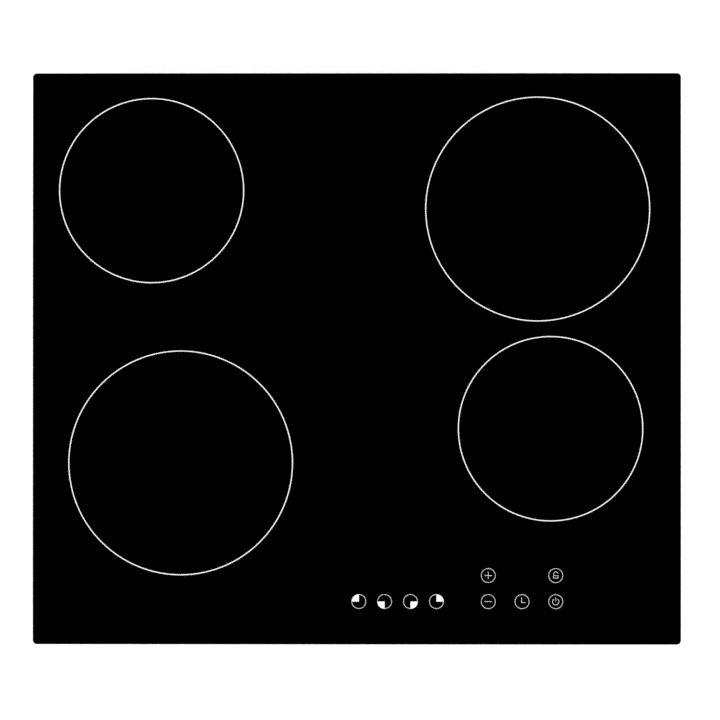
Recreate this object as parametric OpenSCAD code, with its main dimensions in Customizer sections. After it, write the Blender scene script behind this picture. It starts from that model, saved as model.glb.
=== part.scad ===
// Built-in induction cooktop with four cooking zones, touch keys and a folded steel base.
// Millimetres, +Z up. The origin is the centre of the base, on the plane that its feet stand on.
// +X is to the right and +Y to the back, as the cook sees it.

/* [Glass] */
// Width of the glass, left to right
glass_w = 590; // [588:1:594]
// Depth of the glass, front to back
glass_d = 520; // [518:1:524]
// Thickness of the glass
glass_t = 4; // [4:0.5:5]
// Corner radius of the glass
glass_r = 4; // [3:0.5:6]
// Chamfer along the top edge of the glass
glass_c = 0.6; // [0.4:0.1:0.8]

/* [Printed marks] */
// Radius of the small zones' rings
ring_r_small = 83.8; // [80:0.1:85]
// Radius of the large zones' rings
ring_r_large = 101.8; // [98:0.1:103]
// Width of the rings' printed line
ring_line = 0.8; // [0.6:0.1:2]
// Radius of the key symbols' circles
key_r = 6.38; // [5.5:0.02:7]
// Width of the key symbols' lines
key_line = 0.36; // [0.3:0.02:1]

/* [Base] */
// Width of the base tray, which drops into a 560 mm cut-out
body_w = 552; // [552:1:555]
// Depth of the base tray, which drops into a 490 mm cut-out
body_d = 482; // [482:1:485]
// Thickness of the tray's steel sheet
sheet = 0.8; // [0.6:0.1:1]
// Height of the pressed feet under the tray
foot_h = 6; // [6:0.5:7]

/* [Coils] */
// Outer radius of the small coils' winding
wind_small = 72; // [64:1:72]
// Outer radius of the large coils' winding
wind_large = 88; // [80:1:88]
// Ferrite bars under each coil
ferrites = 8; // [6:2:8]

/* [Clamps] */
// Reach of a clamp bracket from its screw
clamp_reach = 34; // [28:1:34]

/* [Hidden] */
$fn = 64;

// Heights: z_glass is the glass's underside, z_top its top, z_worktop the surface it is set on.
z_glass = 56;
z_top = z_glass + glass_t;
z_worktop = 54;
z_floor = foot_h;               // underside of the tray's floor
z_in = z_floor + sheet;         // top of the tray's floor
z_wall = 53.5;                  // top of the tray's walls
z_plate = 36;                   // underside of the coil plate
plate_t = 1.5;
z_post = z_plate + plate_t;
z_car = 46;                     // underside of the coil carriers
z_web = 51.2;                   // face that the windings lie on
z_mica = 55.2;
z_pcb = 12;                     // underside of the power boards
pcb_t = 1.6;
print_t = 0.5;                  // depth of the inlays that stand for the fused ceramic print
wi = body_w / 2 - sheet;        // half the tray's inner width
di = body_d / 2 - sheet;        // half the tray's inner depth

// Zones: x, y, ring radius, carrier radius, winding inner radius, winding outer radius, guide post radius, post angles, lead angle
Z = [[-186.7, 153.0, ring_r_small, 77, 20, wind_small, 84, [0, 120, 240], -60],
     [164.6, 136.2, ring_r_large, 94, 24, wind_large, 101, [180, 60, 300], 240],
     [-160.2, -94.8, ring_r_large, 94, 24, wind_large, 101, [0, 120, 240], 60],
     [176.3, -63.6, ring_r_small, 77, 20, wind_small, 84, [180, 60, 300], 135]];

// Key symbols
key_y = [-220.8, -197.1];
key_x = [2.0, 25.4, 49.0, 72.6, 119.7, 150.4, 181.0];
KEYS = [[key_x[0], key_y[0]], [key_x[1], key_y[0]], [key_x[2], key_y[0]], [key_x[3], key_y[0]],
        [key_x[4], key_y[1]], [key_x[4], key_y[0]], [key_x[5], key_y[0]], [key_x[6], key_y[1]], [key_x[6], key_y[0]]];

fan_x = 150;
fan_y = 150;
FEET = [[-235, 205], [235, 205], [-235, -205], [235, -205], [-235, 0], [235, 0]];
CLAMPS = [[-260, 172], [260, 172], [-260, -172], [260, -172]];
STANDOFFS = [[-262, 218], [262, 218], [-262, -218], [262, -218], [-262, 30], [262, 30], [0, 130], [0, -20], [0, -150]];
BOARD = [-150, -35, 192, 222];  // left power board: centre x, centre y, width, depth
BOARD_SCREWS = [[-240, 70], [-60, 70], [-240, -140], [-60, -140]];
FAN_SCREWS = [for (s = [-1, 1]) for (a = [45, 135, -45]) [s * (fan_x - 55 * cos(a)), fan_y + 55 * sin(a)]];
BOX_SCREWS = [[-48, 180], [48, 180], [-48, 224], [48, 224]];

// ---------- helpers ----------
module rr2(w, d, r) {
    square([w - 2 * r, d], center = true);
    square([w, d - 2 * r], center = true);
    for (x = [-1, 1], y = [-1, 1]) translate([x * (w / 2 - r), y * (d / 2 - r)]) circle(r);
}
module rrect(w, d, r, h) linear_extrude(h) rr2(w, d, r);
module slot2(l, w) {
    square([l - w, w], center = true);
    for (s = [-1, 1]) translate([s * (l - w) / 2, 0]) circle(w / 2, $fn = 24);
}
module box3(x0, y0, z0, x1, y1, z1) translate([x0, y0, z0]) cube([x1 - x0, y1 - y0, z1 - z0]);
module sector2(r, a0, a1) polygon([[0, 0], [r * cos(a0), r * sin(a0)], [r * cos((a0 + a1) / 2), r * sin((a0 + a1) / 2)], [r * cos(a1), r * sin(a1)]]);
module at_zone(i) translate([Z[i][0], Z[i][1], 0]) children();

function unit(v) = v / norm(v);
function mix(a, b, t) = a * (1 - t) + b * t;
// Catmull-Rom spline through the points P, with n steps a span
function cr_pt(a, b, c, d, t) = 0.5 * ((2 * b) + (c - a) * t + (2 * a - 5 * b + 4 * c - d) * t * t + (3 * b - a - 3 * c + d) * t * t * t);
function spline(P, n) = [for (i = [0:len(P) - 2]) for (k = [0:n - 1])
        let (a = i == 0 ? 2 * P[0] - P[1] : P[i - 1], d = i == len(P) - 2 ? 2 * P[i + 1] - P[i] : P[i + 2])
        cr_pt(a, P[i], P[i + 1], d, k / n), P[len(P) - 1]];
function tangents(P) = [for (i = [0:len(P) - 1]) unit(i == 0 ? P[1] - P[0] : i == len(P) - 1 ? P[i] - P[i - 1] : P[i + 1] - P[i - 1])];
function any_normal(t) = let (r = abs(t[2]) > 0.9 ? [1, 0, 0] : [0, 0, 1]) unit(r - (r * t) * t);
function normals(T, i = 0, acc = [], n0 = [0, 0, 0]) = i == len(T) ? acc :
    let (prev = i > 0 ? acc[i - 1] : norm(n0) > 0 ? n0 : any_normal(T[0]), n = unit(prev - (prev * T[i]) * T[i])) normals(T, i + 1, concat(acc, [n]), n0);
// Sweeps the section Q, a list of [u, v], along the points P; u starts along n0
module sweep(P, Q, n0 = [0, 0, 0]) {
    T = tangents(P);
    N = normals(T, 0, [], n0);
    m = len(Q);
    pts = [for (i = [0:len(P) - 1]) for (q = Q) P[i] + N[i] * q[0] + cross(T[i], N[i]) * q[1]];
    sides = [for (i = [0:len(P) - 2]) for (k = [0:m - 1]) let (a = i * m + k, b = i * m + (k + 1) % m, c = a + m, d = b + m)
            for (f = [[a, c, b], [b, c, d]]) f];
    last = (len(P) - 1) * m;
    polyhedron(points = pts, faces = concat(sides, [[for (k = [0:m - 1]) k]], [[for (k = [m - 1:-1:0]) last + k]]), convexity = 8);
}
function ngon_pts(r, n) = [for (k = [0:n - 1]) r * [cos(360 * k / n), sin(360 * k / n)]];
module wire(P, r, steps = 3, n = 8) sweep(spline(P, steps), ngon_pts(r, n));
module coil_spring(r, wire_r, h, turns, seg = 8) {
    q = [[wire_r, 0], [0, wire_r], [-wire_r, 0], [0, -wire_r]];
    sweep([for (k = [0:turns * seg]) [r * cos(360 * k / seg), r * sin(360 * k / seg), wire_r + (h - 2 * wire_r) * k / (turns * seg)]], q);
}
// Pan-head screw, head's underside at z = 0, shank towards -z
module screw(r, len, head_r, head_h) {
    difference() {
        cylinder(r = head_r, h = head_h);
        for (a = [0, 90]) rotate(a) translate([-head_r * 0.6, -0.5, head_h - 1]) cube([head_r * 1.2, 1, 2]);
    }
    translate([0, 0, -len]) cylinder(r = r, h = len);
}

// ---------- glass and print ----------
module chamfer_profile(c) polygon([[-c - 0.5, 0.5], [0.5, -c - 0.5], [0.5, 0.5]]);
module chamfer_cut(w, d, r, c, z) translate([0, 0, z]) {
    for (s = [0, 1]) mirror([s, 0, 0]) translate([w / 2, 0, 0]) rotate([90, 0, 0]) linear_extrude(d - 2 * r, center = true) chamfer_profile(c);
    for (s = [0, 1]) mirror([0, s, 0]) rotate(90) translate([d / 2, 0, 0]) rotate([90, 0, 0]) linear_extrude(w - 2 * r, center = true) chamfer_profile(c);
    for (k = [0:3]) let (sx = (k == 0 || k == 3) ? 1 : -1, sy = k < 2 ? 1 : -1)
        translate([sx * (w / 2 - r), sy * (d / 2 - r), 0]) rotate(90 * k) rotate_extrude(angle = 90) translate([r, 0]) chamfer_profile(c);
}
module rings_2d() for (z = Z) translate([z[0], z[1]]) difference() {
    circle(z[2] + ring_line / 2);
    circle(z[2] - ring_line / 2);
}
module ring2(r, w) difference() { circle(r + w / 2); circle(r - w / 2); }
module quadrant(k) intersection() { circle(key_r + key_line / 2); rotate(90 * k) square(key_r * 2); }
module lock_2d() {
    w = key_line;
    translate([0.1, -1.2]) difference() { rr2(4.6, 2.6, 0.5); rr2(4.6 - 2 * w, 2.6 - 2 * w, 0.15); }
    translate([-1.75 - w / 2, -0.5]) square([w, 2.2]);
    translate([0.1, 1.6]) intersection() { ring2(1.85, w); translate([-4, 0]) square([8, 4]); }
}
module power_2d() {
    difference() { ring2(2.95, key_line); rotate(90) sector2(6, -38, 38); }
    translate([-key_line / 2, 0.35]) square([key_line, 3.6]);
}
module clock_2d() {
    translate([-0.4 - key_line / 2, -0.85 - key_line / 2]) square([key_line, 4.8]);
    translate([-0.4 - key_line / 2, -0.85 - key_line / 2]) square([3.5, key_line]);
}
module symbols_2d() {
    for (k = KEYS) translate(k) ring2(key_r, key_line);
    for (q = [[0, 1], [1, 2], [2, 3], [3, 0]]) translate(KEYS[q[0]]) quadrant(q[1]);
    translate(KEYS[4]) { square([6.6, key_line], center = true); square([key_line, 6.6], center = true); }
    translate(KEYS[5]) square([6.6, key_line], center = true);
    translate(KEYS[6]) clock_2d();
    translate(KEYS[7]) lock_2d();
    translate(KEYS[8]) power_2d();
}
module glass_plate() color("#08080a") difference() {
    translate([0, 0, z_glass]) rrect(glass_w, glass_d, glass_r, glass_t);
    chamfer_cut(glass_w, glass_d, glass_r, glass_c, z_top);
    translate([0, 0, z_top - print_t]) linear_extrude(1) rings_2d();
    translate([0, 0, z_top - print_t]) linear_extrude(1) symbols_2d();
}
module zone_rings() color("white") translate([0, 0, z_top - print_t]) linear_extrude(print_t) rings_2d();
module control_symbols() color("white") translate([0, 0, z_top - print_t]) linear_extrude(print_t) symbols_2d();

// Foam strips that seal the glass's rim to the worktop
seal_o = 2;
seal_w = 9;
module worktop_seal() color("#3a3a3c") {
    x1 = glass_w / 2 - seal_o;
    y1 = glass_d / 2 - seal_o;
    for (s = [-1, 1]) {
        translate([-x1, s > 0 ? y1 - seal_w : -y1, z_worktop]) cube([2 * x1, seal_w, z_glass - z_worktop]);
        translate([s > 0 ? x1 - seal_w : -x1, -y1 + seal_w, z_worktop]) cube([seal_w, 2 * (y1 - seal_w), z_glass - z_worktop]);
    }
}

// Aluminium angles bonded under the glass, which the tray's walls are screwed to
rail_leg = 14;
rail_fl = 8;
rail_t = 1.5;
FRAME_X = [-200, -70, 70, 200];
FRAME_Y = [-120, 120];
z_fix = 47.5;
module rail(len) difference() {
    union() {
        box3(-len / 2, -rail_t, z_glass - rail_leg, len / 2, 0, z_glass);
        box3(-len / 2, -rail_fl, z_glass - rail_t, len / 2, 0, z_glass);
    }
}
module frame_rails() color("silver") difference() {
    union() {
        for (a = [0, 180]) rotate(a) translate([0, di, 0]) rail(2 * wi - 26);
        for (a = [90, 270]) rotate(a) translate([0, wi, 0]) rail(2 * di - 26);
    }
    for (p = frame_fix()) translate(p[0]) rotate([90, 0, p[1]]) cylinder(r = 2, h = 40, center = true);
}
// Each frame screw: point on the tray's outer wall, and the turn that faces it outwards
function frame_fix() = concat(
    [for (x = FRAME_X) [[x, -body_d / 2, z_fix], 0]],
    [for (x = FRAME_X) [[x, body_d / 2, z_fix], 180]],
    [for (y = FRAME_Y) [[body_w / 2, y, z_fix], 90]],
    [for (y = FRAME_Y) [[-body_w / 2, y, z_fix], -90]]);

// ---------- base ----------
module foot() difference() {
    cylinder(r1 = 9.5, r2 = 13, h = z_floor + 0.01);
    translate([0, 0, sheet]) cylinder(r1 = 8.9, r2 = 12.6, h = z_floor + 0.2);
}
module bead(x, y0, y1) difference() {
    translate([x, (y0 + y1) / 2, z_floor - 1.6]) linear_extrude(1.7) rotate(90) slot2(y1 - y0, 14);
    translate([x, (y0 + y1) / 2, z_floor - 0.8]) linear_extrude(2) rotate(90) slot2(y1 - y0 - 1.6, 12.4);
}
BEADS = [-215, -85, 85, 215];
tb_x = 38;                      // terminal opening, half width
tb_y = [168, 234];              // terminal opening, front and back
lug_x = 40;
hinge_y = 163;
hinge_z = z_floor - 2.4;
module base_tray() color("#b9bcc0") difference() {
    union() {
        difference() {
            translate([0, 0, z_floor]) rrect(body_w, body_d, 6, z_wall - z_floor);
            translate([0, 0, z_in]) rrect(body_w - 2 * sheet, body_d - 2 * sheet, 6 - sheet, z_wall);
            for (f = FEET) translate([f[0], f[1], z_floor - 1]) cylinder(r = 12.5, h = 3);
            for (x = BEADS) translate([x, -35, z_floor - 1]) linear_extrude(3) rotate(90) slot2(218, 13);
        }
        for (f = FEET) translate([f[0], f[1], 0]) foot();
        for (f = FEET) translate([f[0], f[1], z_floor]) difference() { cylinder(r = 13, h = sheet); translate([0, 0, -1]) cylinder(r = 12.2, h = 3); }
        for (x = BEADS) bead(x, -145, 75);
        for (c = CLAMPS) translate([c[0], c[1], z_floor]) cylinder(r = 4.4, h = 4.5);
        for (s = [-1, 1]) box3(s > 0 ? lug_x : -lug_x - 3, hinge_y - 2.5, hinge_z - 2.2, s > 0 ? lug_x + 3 : -lug_x, hinge_y + 2.5, z_floor + 0.1);
    }
    for (c = CLAMPS) translate([c[0], c[1], z_floor - 1]) cylinder(r = 2.5, h = 8);
    // hinge eyes for the terminal cover
    translate([0, hinge_y, hinge_z]) rotate([0, 90, 0]) cylinder(r = 1.05, h = 100, center = true);
    // terminal opening and cable entry
    box3(-tb_x, tb_y[0], z_floor - 1, tb_x, tb_y[1], z_in + 1);
    translate([0, body_d / 2, 20]) rotate([90, 0, 0]) cylinder(r = 10.8, h = 10, center = true);
    // air intakes under the fans
    for (s = [-1, 1], k = [-4:4]) translate([s * fan_x, fan_y + k * 6.4, z_floor - 1]) linear_extrude(3) slot2(2 * sqrt(30 * 30 - pow(k * 6.4, 2)), 3.4);
    // air outlets in the floor and in the front wall
    for (s = [-1, 1], k = [0:11]) translate([s * (58 + k * 12.5), -196, z_floor - 1]) linear_extrude(3) rotate(90) slot2(44, 4);
    for (s = [-1, 1], k = [0:9]) translate([s * (60 + k * 14), -body_d / 2, 24]) rotate([90, 0, 0]) linear_extrude(6, center = true) rotate(90) slot2(18, 3.6);
    for (p = frame_fix()) translate(p[0]) rotate([90, 0, p[1]]) cylinder(r = 2.2, h = 6, center = true);
    for (p = concat(FAN_SCREWS, BOX_SCREWS)) translate([p[0], p[1], z_floor - 1]) cylinder(r = 2, h = 4);
}

module coil_plate() color("#c9ccd0") difference() {
    translate([0, 0, z_plate]) rrect(2 * wi - 8, 2 * di - 8, 12, plate_t);
    for (i = [0:3], a = Z[i][7]) at_zone(i) rotate(a) translate([Z[i][6], 0, z_plate - 1]) cylinder(r = 2.5, h = 4);
    for (i = [0:3]) at_zone(i) rotate(Z[i][8]) translate([lead_out(i), 0, z_plate - 1]) linear_extrude(4) rotate(90) slot2(30, 16);
    for (i = [0:3]) at_zone(i) translate([0, 0, z_plate - 1]) cylinder(r = 14, h = 4);
    for (p = STANDOFFS) translate([p[0], p[1], z_plate - 1]) cylinder(r = 2.1, h = 4);
    translate([60, -160, z_plate - 1]) linear_extrude(4) slot2(30, 9);
    for (s = [-1, 1], k = [-3:3]) translate([s * 30 + k * 7, 40, z_plate - 1]) linear_extrude(4) rotate(90) slot2(60, 3.6);
}
function lead_out(i) = Z[i][3] + 12;

module plate_standoffs() color("#d8b25a") for (p = STANDOFFS) translate([p[0], p[1], z_in]) difference() {
    cylinder(r = 4.6, h = z_plate - z_in, $fn = 6);
    translate([0, 0, 12]) cylinder(r = 2, h = 40);
}
module assembly_screws() color("#c8c8c8") {
    for (p = frame_fix()) translate(p[0]) rotate([90, 0, p[1]]) screw(2, 7, 3.9, 2);
    for (p = STANDOFFS) translate([p[0], p[1], z_post]) screw(2, 8, 3.9, 2);
    for (s = [0, 1]) mirror([s, 0, 0]) for (p = BOARD_SCREWS) translate([p[0], p[1], z_pcb + pcb_t]) screw(2, 4.5, 3.9, 2);
    for (p = FAN_SCREWS) translate([p[0], p[1], z_in + 4]) screw(2, 5.6, 3.9, 2);
    for (p = BOX_SCREWS) translate([p[0], p[1], z_in + 1.6]) screw(2, 3.2, 3.9, 2);
}
module guide_posts() color("#8c9094") for (i = [0:3], a = Z[i][7]) at_zone(i) rotate(a) translate([Z[i][6], 0, 0]) {
    translate([0, 0, z_plate - 1.2]) cylinder(r = 4, h = 1.2);
    translate([0, 0, z_plate]) cylinder(r = 2.5, h = plate_t);
    translate([0, 0, z_post]) cylinder(r = 5.5, h = 1);
    translate([0, 0, z_post + 1]) cylinder(r = 3, h = 13.3);
    translate([0, 0, z_post + 14.3]) cylinder(r1 = 3, r2 = 2.3, h = 0.7);
}
module coil_springs() color("#9aa0a6") for (i = [0:3], a = Z[i][7]) at_zone(i) rotate(a) translate([Z[i][6], 0, z_post + 1])
    coil_spring(4.3, 0.5, z_car - z_post - 1, 3.5);

// ---------- coil units ----------
module coil_carrier(i) color("#e6e1d2") at_zone(i) {
    R = Z[i][3];
    ri = Z[i][4];
    difference() {
        union() {
            translate([0, 0, z_car]) cylinder(r = R, h = z_web - z_car + 1.3);
            for (a = Z[i][7]) rotate(a) {
                translate([Z[i][6], 0, z_car]) cylinder(r = 7, h = 3);
                translate([R - 2, -6, z_car]) cube([Z[i][6] - R + 2, 12, 3]);
            }
        }
        // winding's seat, and the space under the web
        translate([0, 0, z_web]) cylinder(r = R - 2, h = 5);
        difference() {
            translate([0, 0, z_car - 1]) cylinder(r = R - 2, h = z_web - z_car);
            for (k = [0:ferrites - 1]) rotate(360 / ferrites * k) translate([15, -6.6, 0]) cube([R, 13.2, z_web]);
            translate([0, 0, 0]) cylinder(r = 18, h = z_web);
        }
        // ferrite slots
        for (k = [0:ferrites - 1]) rotate(360 / ferrites * k) translate([20, -5.2, z_car - 1]) cube([R - 23.5, 10.4, 5.2]);
        // air windows
        for (k = [0:ferrites - 1]) rotate(360 / ferrites * (k + 0.5) - 11) rotate_extrude(angle = 22) translate([ri + 18, z_car]) square([R - ri - 26, 10]);
        translate([0, 0, z_car - 1]) cylinder(r = 9, h = 12);
        for (a = Z[i][7]) rotate(a) translate([Z[i][6], 0, z_car - 1]) cylinder(r = 3.05, h = 8);
        rotate(Z[i][8]) translate([R - 8, -11, z_web]) cube([12, 22, 4]);
    }
    difference() {
        translate([0, 0, z_web]) cylinder(r = 12, h = 3.6);
        translate([0, 0, z_web - 1]) cylinder(r = 9, h = 8);
    }
}
module ferrite_bars(i) color("#3c3d42") at_zone(i) for (k = [0:ferrites - 1]) rotate(360 / ferrites * k)
    translate([20.4, -5, z_car + 0.4]) cube([Z[i][3] - 24.4, 10, 3.8]);

// Flat winding of litz wire, one crest a turn
pitch = 4;
module coil_winding(i) color("#b5733c") at_zone(i) {
    ri = Z[i][4];
    n = floor((Z[i][5] - ri) / pitch);
    rotate_extrude() polygon(concat([[ri, z_web]],
        [for (k = [0:n - 1]) for (q = [[0, 3.0], [0.8, 3.7], [2, 3.95], [3.2, 3.7]]) [ri + k * pitch + q[0], z_web + q[1]]],
        [[ri + n * pitch, z_web + 3.0], [ri + n * pitch, z_web]]));
}
module mica_disc(i) color("#cbb994") at_zone(i) translate([0, 0, z_mica]) difference() {
    cylinder(r = Z[i][3] - 2.5, h = z_glass - z_mica);
    translate([0, 0, -1]) cylinder(r = 10, h = 4);
}
module zone_sensor(i) color("#d8d8d4") at_zone(i) {
    translate([0, 0, z_car + 1]) cylinder(r = 8.9, h = 7);
    translate([0, 0, z_car + 8]) cylinder(r1 = 8.9, r2 = 6, h = 1);
    translate([0, 0, z_car + 9]) cylinder(r = 6, h = z_glass - z_car - 9);
    translate([0, 0, z_car - 0.8]) cylinder(r = 3, h = 1.8);
}

// Lead pairs from each winding to its board's terminals, and each sensor's wire to its plug
function polar(r, a) = [r * cos(a), r * sin(a), 0];
TERM = [[[-128, 60], [-116, 60]], [[128, 60], [116, 60]], [[-116, 0], [-104, 0]], [[104, 0], [116, 0]]];
PLUG = [[-132, 43], [132, 43], [-129, -8], [129, -8]];
// Waypoints of each sensor's wire, under the coil plate
WAY = [[[-141, 68, 30], [-136, 54, 28.5]], [[113, 44, 30], [124, 46, 28.5]], [[-110, -8, 30], [-122, -14, 28]], [[115, -6.5, 30], [124, -10, 28]]];
module lug(p) translate([p[0], p[1], 0]) {
    translate([0, 0, 26]) cylinder(r = 4.2, h = 1.2);
    translate([0, 0, 27]) cylinder(r = 2.3, h = 4);
}
module coil_leads() color("#c8b89a") for (i = [0:3]) {
    c = [Z[i][0], Z[i][1], 0];
    a = Z[i][8];
    R = Z[i][3];
    ro = Z[i][4] + floor((Z[i][5] - Z[i][4]) / pitch) * pitch;
    side = [-sin(a), cos(a), 0];
    for (k = [0, 1]) {
        o = side * 5.5 * (k == 0 ? 1 : -1) * (i == 0 ? -1 : 1);
        t = [TERM[i][k][0], TERM[i][k][1], 0];
        p4 = c + polar(R + 12, a) + o;
        lug(t);
        wire([c + polar(ro + 0.6, a) + o + [0, 0, z_web + 1.95],
              c + polar(R + 1, a) + o + [0, 0, z_web + 1.95],
              c + polar(R + 8, a) + o + [0, 0, z_web - 0.5],
              c + polar(R + 12, a) + o + [0, 0, z_web - 7],
              p4 + [0, 0, z_plate + 1],
              mix(p4, t, 0.3) + [0, 0, 33.6],
              mix(p4, t, 0.8) + [0, 0, 33.4],
              t + [0, 0, 29.5]], 1.8, 2, 8);
    }
    // sensor wire: down from the sensor, along the plate, and through the lead slot
    q = c + polar(R + 12, a);
    translate([PLUG[i][0] - 4, PLUG[i][1] - 3, 20.6]) cube([8, 6, 4.5]);
    wire([c + [0, 0, z_car - 1], c + [0, 0, z_car - 3], c + polar(3, a) + [0, 0, z_post + 2.6], c + polar(12, a) + [0, 0, z_post + 1.3],
          c + polar(R * 0.5, a) + [0, 0, z_post + 1.1], c + polar(R + 3, a) + [0, 0, z_post + 1.3],
          q + polar(-1, a) + [0, 0, z_plate - 1], WAY[i][0], WAY[i][1], [PLUG[i][0], PLUG[i][1], 24]], 0.9, 2, 6);
}

// ---------- electronics ----------
module sided(s) mirror([s > 0 ? 1 : 0, 0, 0]) children();
module board_tray() {
    difference() {
        translate([BOARD[0], BOARD[1], z_in]) rrect(BOARD[2] + 8, BOARD[3] + 8, 4, 8);
        translate([BOARD[0], BOARD[1], z_in + 1.8]) rrect(BOARD[2] + 4.4, BOARD[3] + 4.4, 3, 20);
        for (k = [0:5]) translate([BOARD[0] + 62, BOARD[1] - 90 + k * 36, z_in - 1]) linear_extrude(5) slot2(50, 8);
    }
    difference() {
        for (p = BOARD_SCREWS) translate([p[0], p[1], z_in + 1]) cylinder(r = 4.5, h = z_pcb - z_in - 1);
        for (p = BOARD_SCREWS) translate([p[0], p[1], z_pcb - 2.9]) cylinder(r = 2, h = 10);
    }
    for (p = [[-150, 60], [-150, -130], [-100, -35]]) translate([p[0], p[1], z_in + 1]) cylinder(r = 3, h = z_pcb - z_in - 1);
}
module power_board() {
    z1 = z_pcb + pcb_t;
    difference() {
        translate([BOARD[0], BOARD[1], z_pcb]) rrect(BOARD[2], BOARD[3], 3, pcb_t);
        for (p = BOARD_SCREWS) translate([p[0], p[1], z_pcb - 1]) cylinder(r = 2.1, h = 4);
    }
    // screw terminals for the coil leads
    for (p = [[-128, 60], [-116, 60], [-116, 0], [-104, 0]]) translate([p[0], p[1], z1]) {
        translate([-4.5, -5, 0]) cube([9, 10, 8.4]);
        cylinder(r = 3, h = 12.4);
    }
    // electrolytic capacitors, relays, auxiliary transformer, plugs
    for (p = [[-72, -96], [-96, -96]]) translate([p[0], p[1], z1]) cylinder(r = 10, h = 20);
    for (p = [[-74, 40], [-74, 20]]) translate([p[0] - 14, p[1] - 8, z1]) cube([28, 16, 15]);
    translate([-118, -132, z1]) cube([30, 26, 18]);
    for (p = [[-225, -90], [-225, -112], [-100, 70], [-80, -132]]) translate([p[0] - 8, p[1] - 4, z1]) cube([16, 8, 9]);
    for (p = [[-132, 43], [-129, -8]]) translate([p[0] - 4, p[1] - 3, z1]) cube([8, 6, 7]);
    // controller chips
    for (p = [[-100, -24], [-226, -70]]) translate([p[0] - 8, p[1] - 6, z1]) cube([16, 12, 2]);
}
FINS = 11;
module heatsink() {
    z1 = z_pcb + pcb_t;
    box3(-200, -115, z1, -145, 70, z1 + 4);
    for (k = [0:FINS - 1]) box3(-200 + k * (53.6 / (FINS - 1)), -115, z1 + 3.9, -200 + k * (53.6 / (FINS - 1)) + 1.4, 70, z1 + 19.4);
}
module power_transistors() color("#232428") for (s = [-1, 1]) sided(s) for (y = [50, 22, -6, -34, -74]) translate([-145, y - 8, z_pcb + pcb_t]) {
    translate([0, 0, 1.2]) cube([5, 16, 20]);
    for (k = [-1:1]) translate([2, 8 + k * 5.4 - 0.6, 0]) cube([0.8, 1.2, 1.3]);
}
module film_capacitors() color("#8f9aa6") for (s = [-1, 1]) sided(s) {
    for (p = [[-225, 44], [-225, 8], [-225, -28]]) translate([p[0] - 15, p[1] - 13, z_pcb + pcb_t]) cube([30, 26, 20]);
    for (p = [[-82, -64], [-110, -64]]) translate([p[0] - 11, p[1] - 9, z_pcb + pcb_t]) cube([22, 18, 21]);
}
module choke_coils() color("#b06a35") for (s = [-1, 1]) sided(s)
    for (p = [[-78, -20], [-122, -30]]) translate([p[0], p[1], z_pcb + pcb_t + 6]) rotate_extrude() translate([9.5, 0]) circle(6);

// ---------- fans ----------
fan_r = 50;
z_fan = [z_in, 33.5];
module fan_housing() translate([-fan_x, fan_y, 0]) {
    difference() {
        union() {
            translate([0, 0, z_fan[0]]) cylinder(r = fan_r, h = z_fan[1] - z_fan[0]);
            box3(-fan_r, -66, z_fan[0], 5, 0, z_fan[1]);
        }
        translate([0, 0, z_fan[0] + 1.5]) cylinder(r = fan_r - 2, h = z_fan[1] - z_fan[0] - 3);
        box3(-fan_r + 2, -70, z_fan[0] + 1.5, 3, 0, z_fan[1] - 1.5);
        translate([0, 0, z_fan[0] - 1]) cylinder(r = 31, h = 4);
    }
    // motor's stator, hanging from the housing's top
    difference() {
        translate([0, 0, 17]) cylinder(r = 13, h = z_fan[1] - 18);
        translate([0, 0, 16]) cylinder(r = 1.55, h = 12.5);
    }
    for (a = [45, 135, -45]) rotate(a) translate([55, 0, z_fan[0]]) difference() {
        union() { cylinder(r = 5, h = 4); translate([-6, -5, 0]) cube([6, 10, 4]); }
        translate([0, 0, -1]) cylinder(r = 2, h = 8);
    }
}
module fan_rotor() translate([-fan_x, fan_y, 0]) {
    difference() {
        union() {
            translate([0, 0, 13]) cylinder(r = 17, h = 16.5);
            translate([0, 0, 28]) cylinder(r = 42, h = 1.5);
        }
        translate([0, 0, 14.5]) cylinder(r = 15.2, h = 20);
    }
    translate([0, 0, 14]) cylinder(r = 1.5, h = 13.5);
    difference() { translate([0, 0, 10.8]) cylinder(r = 42, h = 1.4); translate([0, 0, 10]) cylinder(r = 38.5, h = 4); }
    for (k = [0:27]) rotate(360 / 28 * k) translate([32, 0, 11.8]) rotate(28) cube([9.6, 1, 16.4]);
}

// ---------- touch controls ----------
ch = [-22, -231, 205, -178];    // holder: x0, y0, x1, y1
module control_holder() color("#2e3034") {
    w = ch[2] - ch[0];
    d = ch[3] - ch[1];
    cx = (ch[0] + ch[2]) / 2;
    cy = (ch[1] + ch[3]) / 2;
    difference() {
        translate([cx, cy, 41]) rrect(w, d, 3, 13.3);
        translate([cx, cy, 42.6]) rrect(w - 3.2, d - 3.2, 1.6, 20);
        translate([60, -186, 40]) linear_extrude(5) slot2(24, 6);
    }
    for (x = [ch[0] + 8, cx, ch[2] - 8], y = [ch[1] + 8, ch[3] - 8]) {
        translate([x, y, 42]) cylinder(r = 3, h = 4);
        translate([x, y, z_post]) cylinder(r = 4, h = 41 - z_post + 0.5);
    }
}
module control_board() color("#1f5a38") {
    cx = (ch[0] + ch[2]) / 2;
    cy = (ch[1] + ch[3]) / 2;
    translate([cx, cy, 46]) rrect(ch[2] - ch[0] - 4.4, ch[3] - ch[1] - 4.4, 1.5, pcb_t);
    translate([52, -189, 43.5]) cube([16, 6, 2.6]);
    translate([100, -212, 44]) cube([12, 12, 2.1]);
}
module touch_springs() color("#c9a24a") for (k = KEYS) translate([k[0], k[1], 46 + pcb_t]) coil_spring(3.4, 0.4, z_glass - 46 - pcb_t, 3.5);
module display_modules() color("#17181c") {
    for (k = [0:3]) translate([key_x[k] - 5, key_y[1] - 6.5, 46 + pcb_t]) cube([10, 14, 7.6]);
    translate([key_x[5] - 10, key_y[1] - 6.5, 46 + pcb_t]) cube([20, 14, 7.6]);
}
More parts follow.
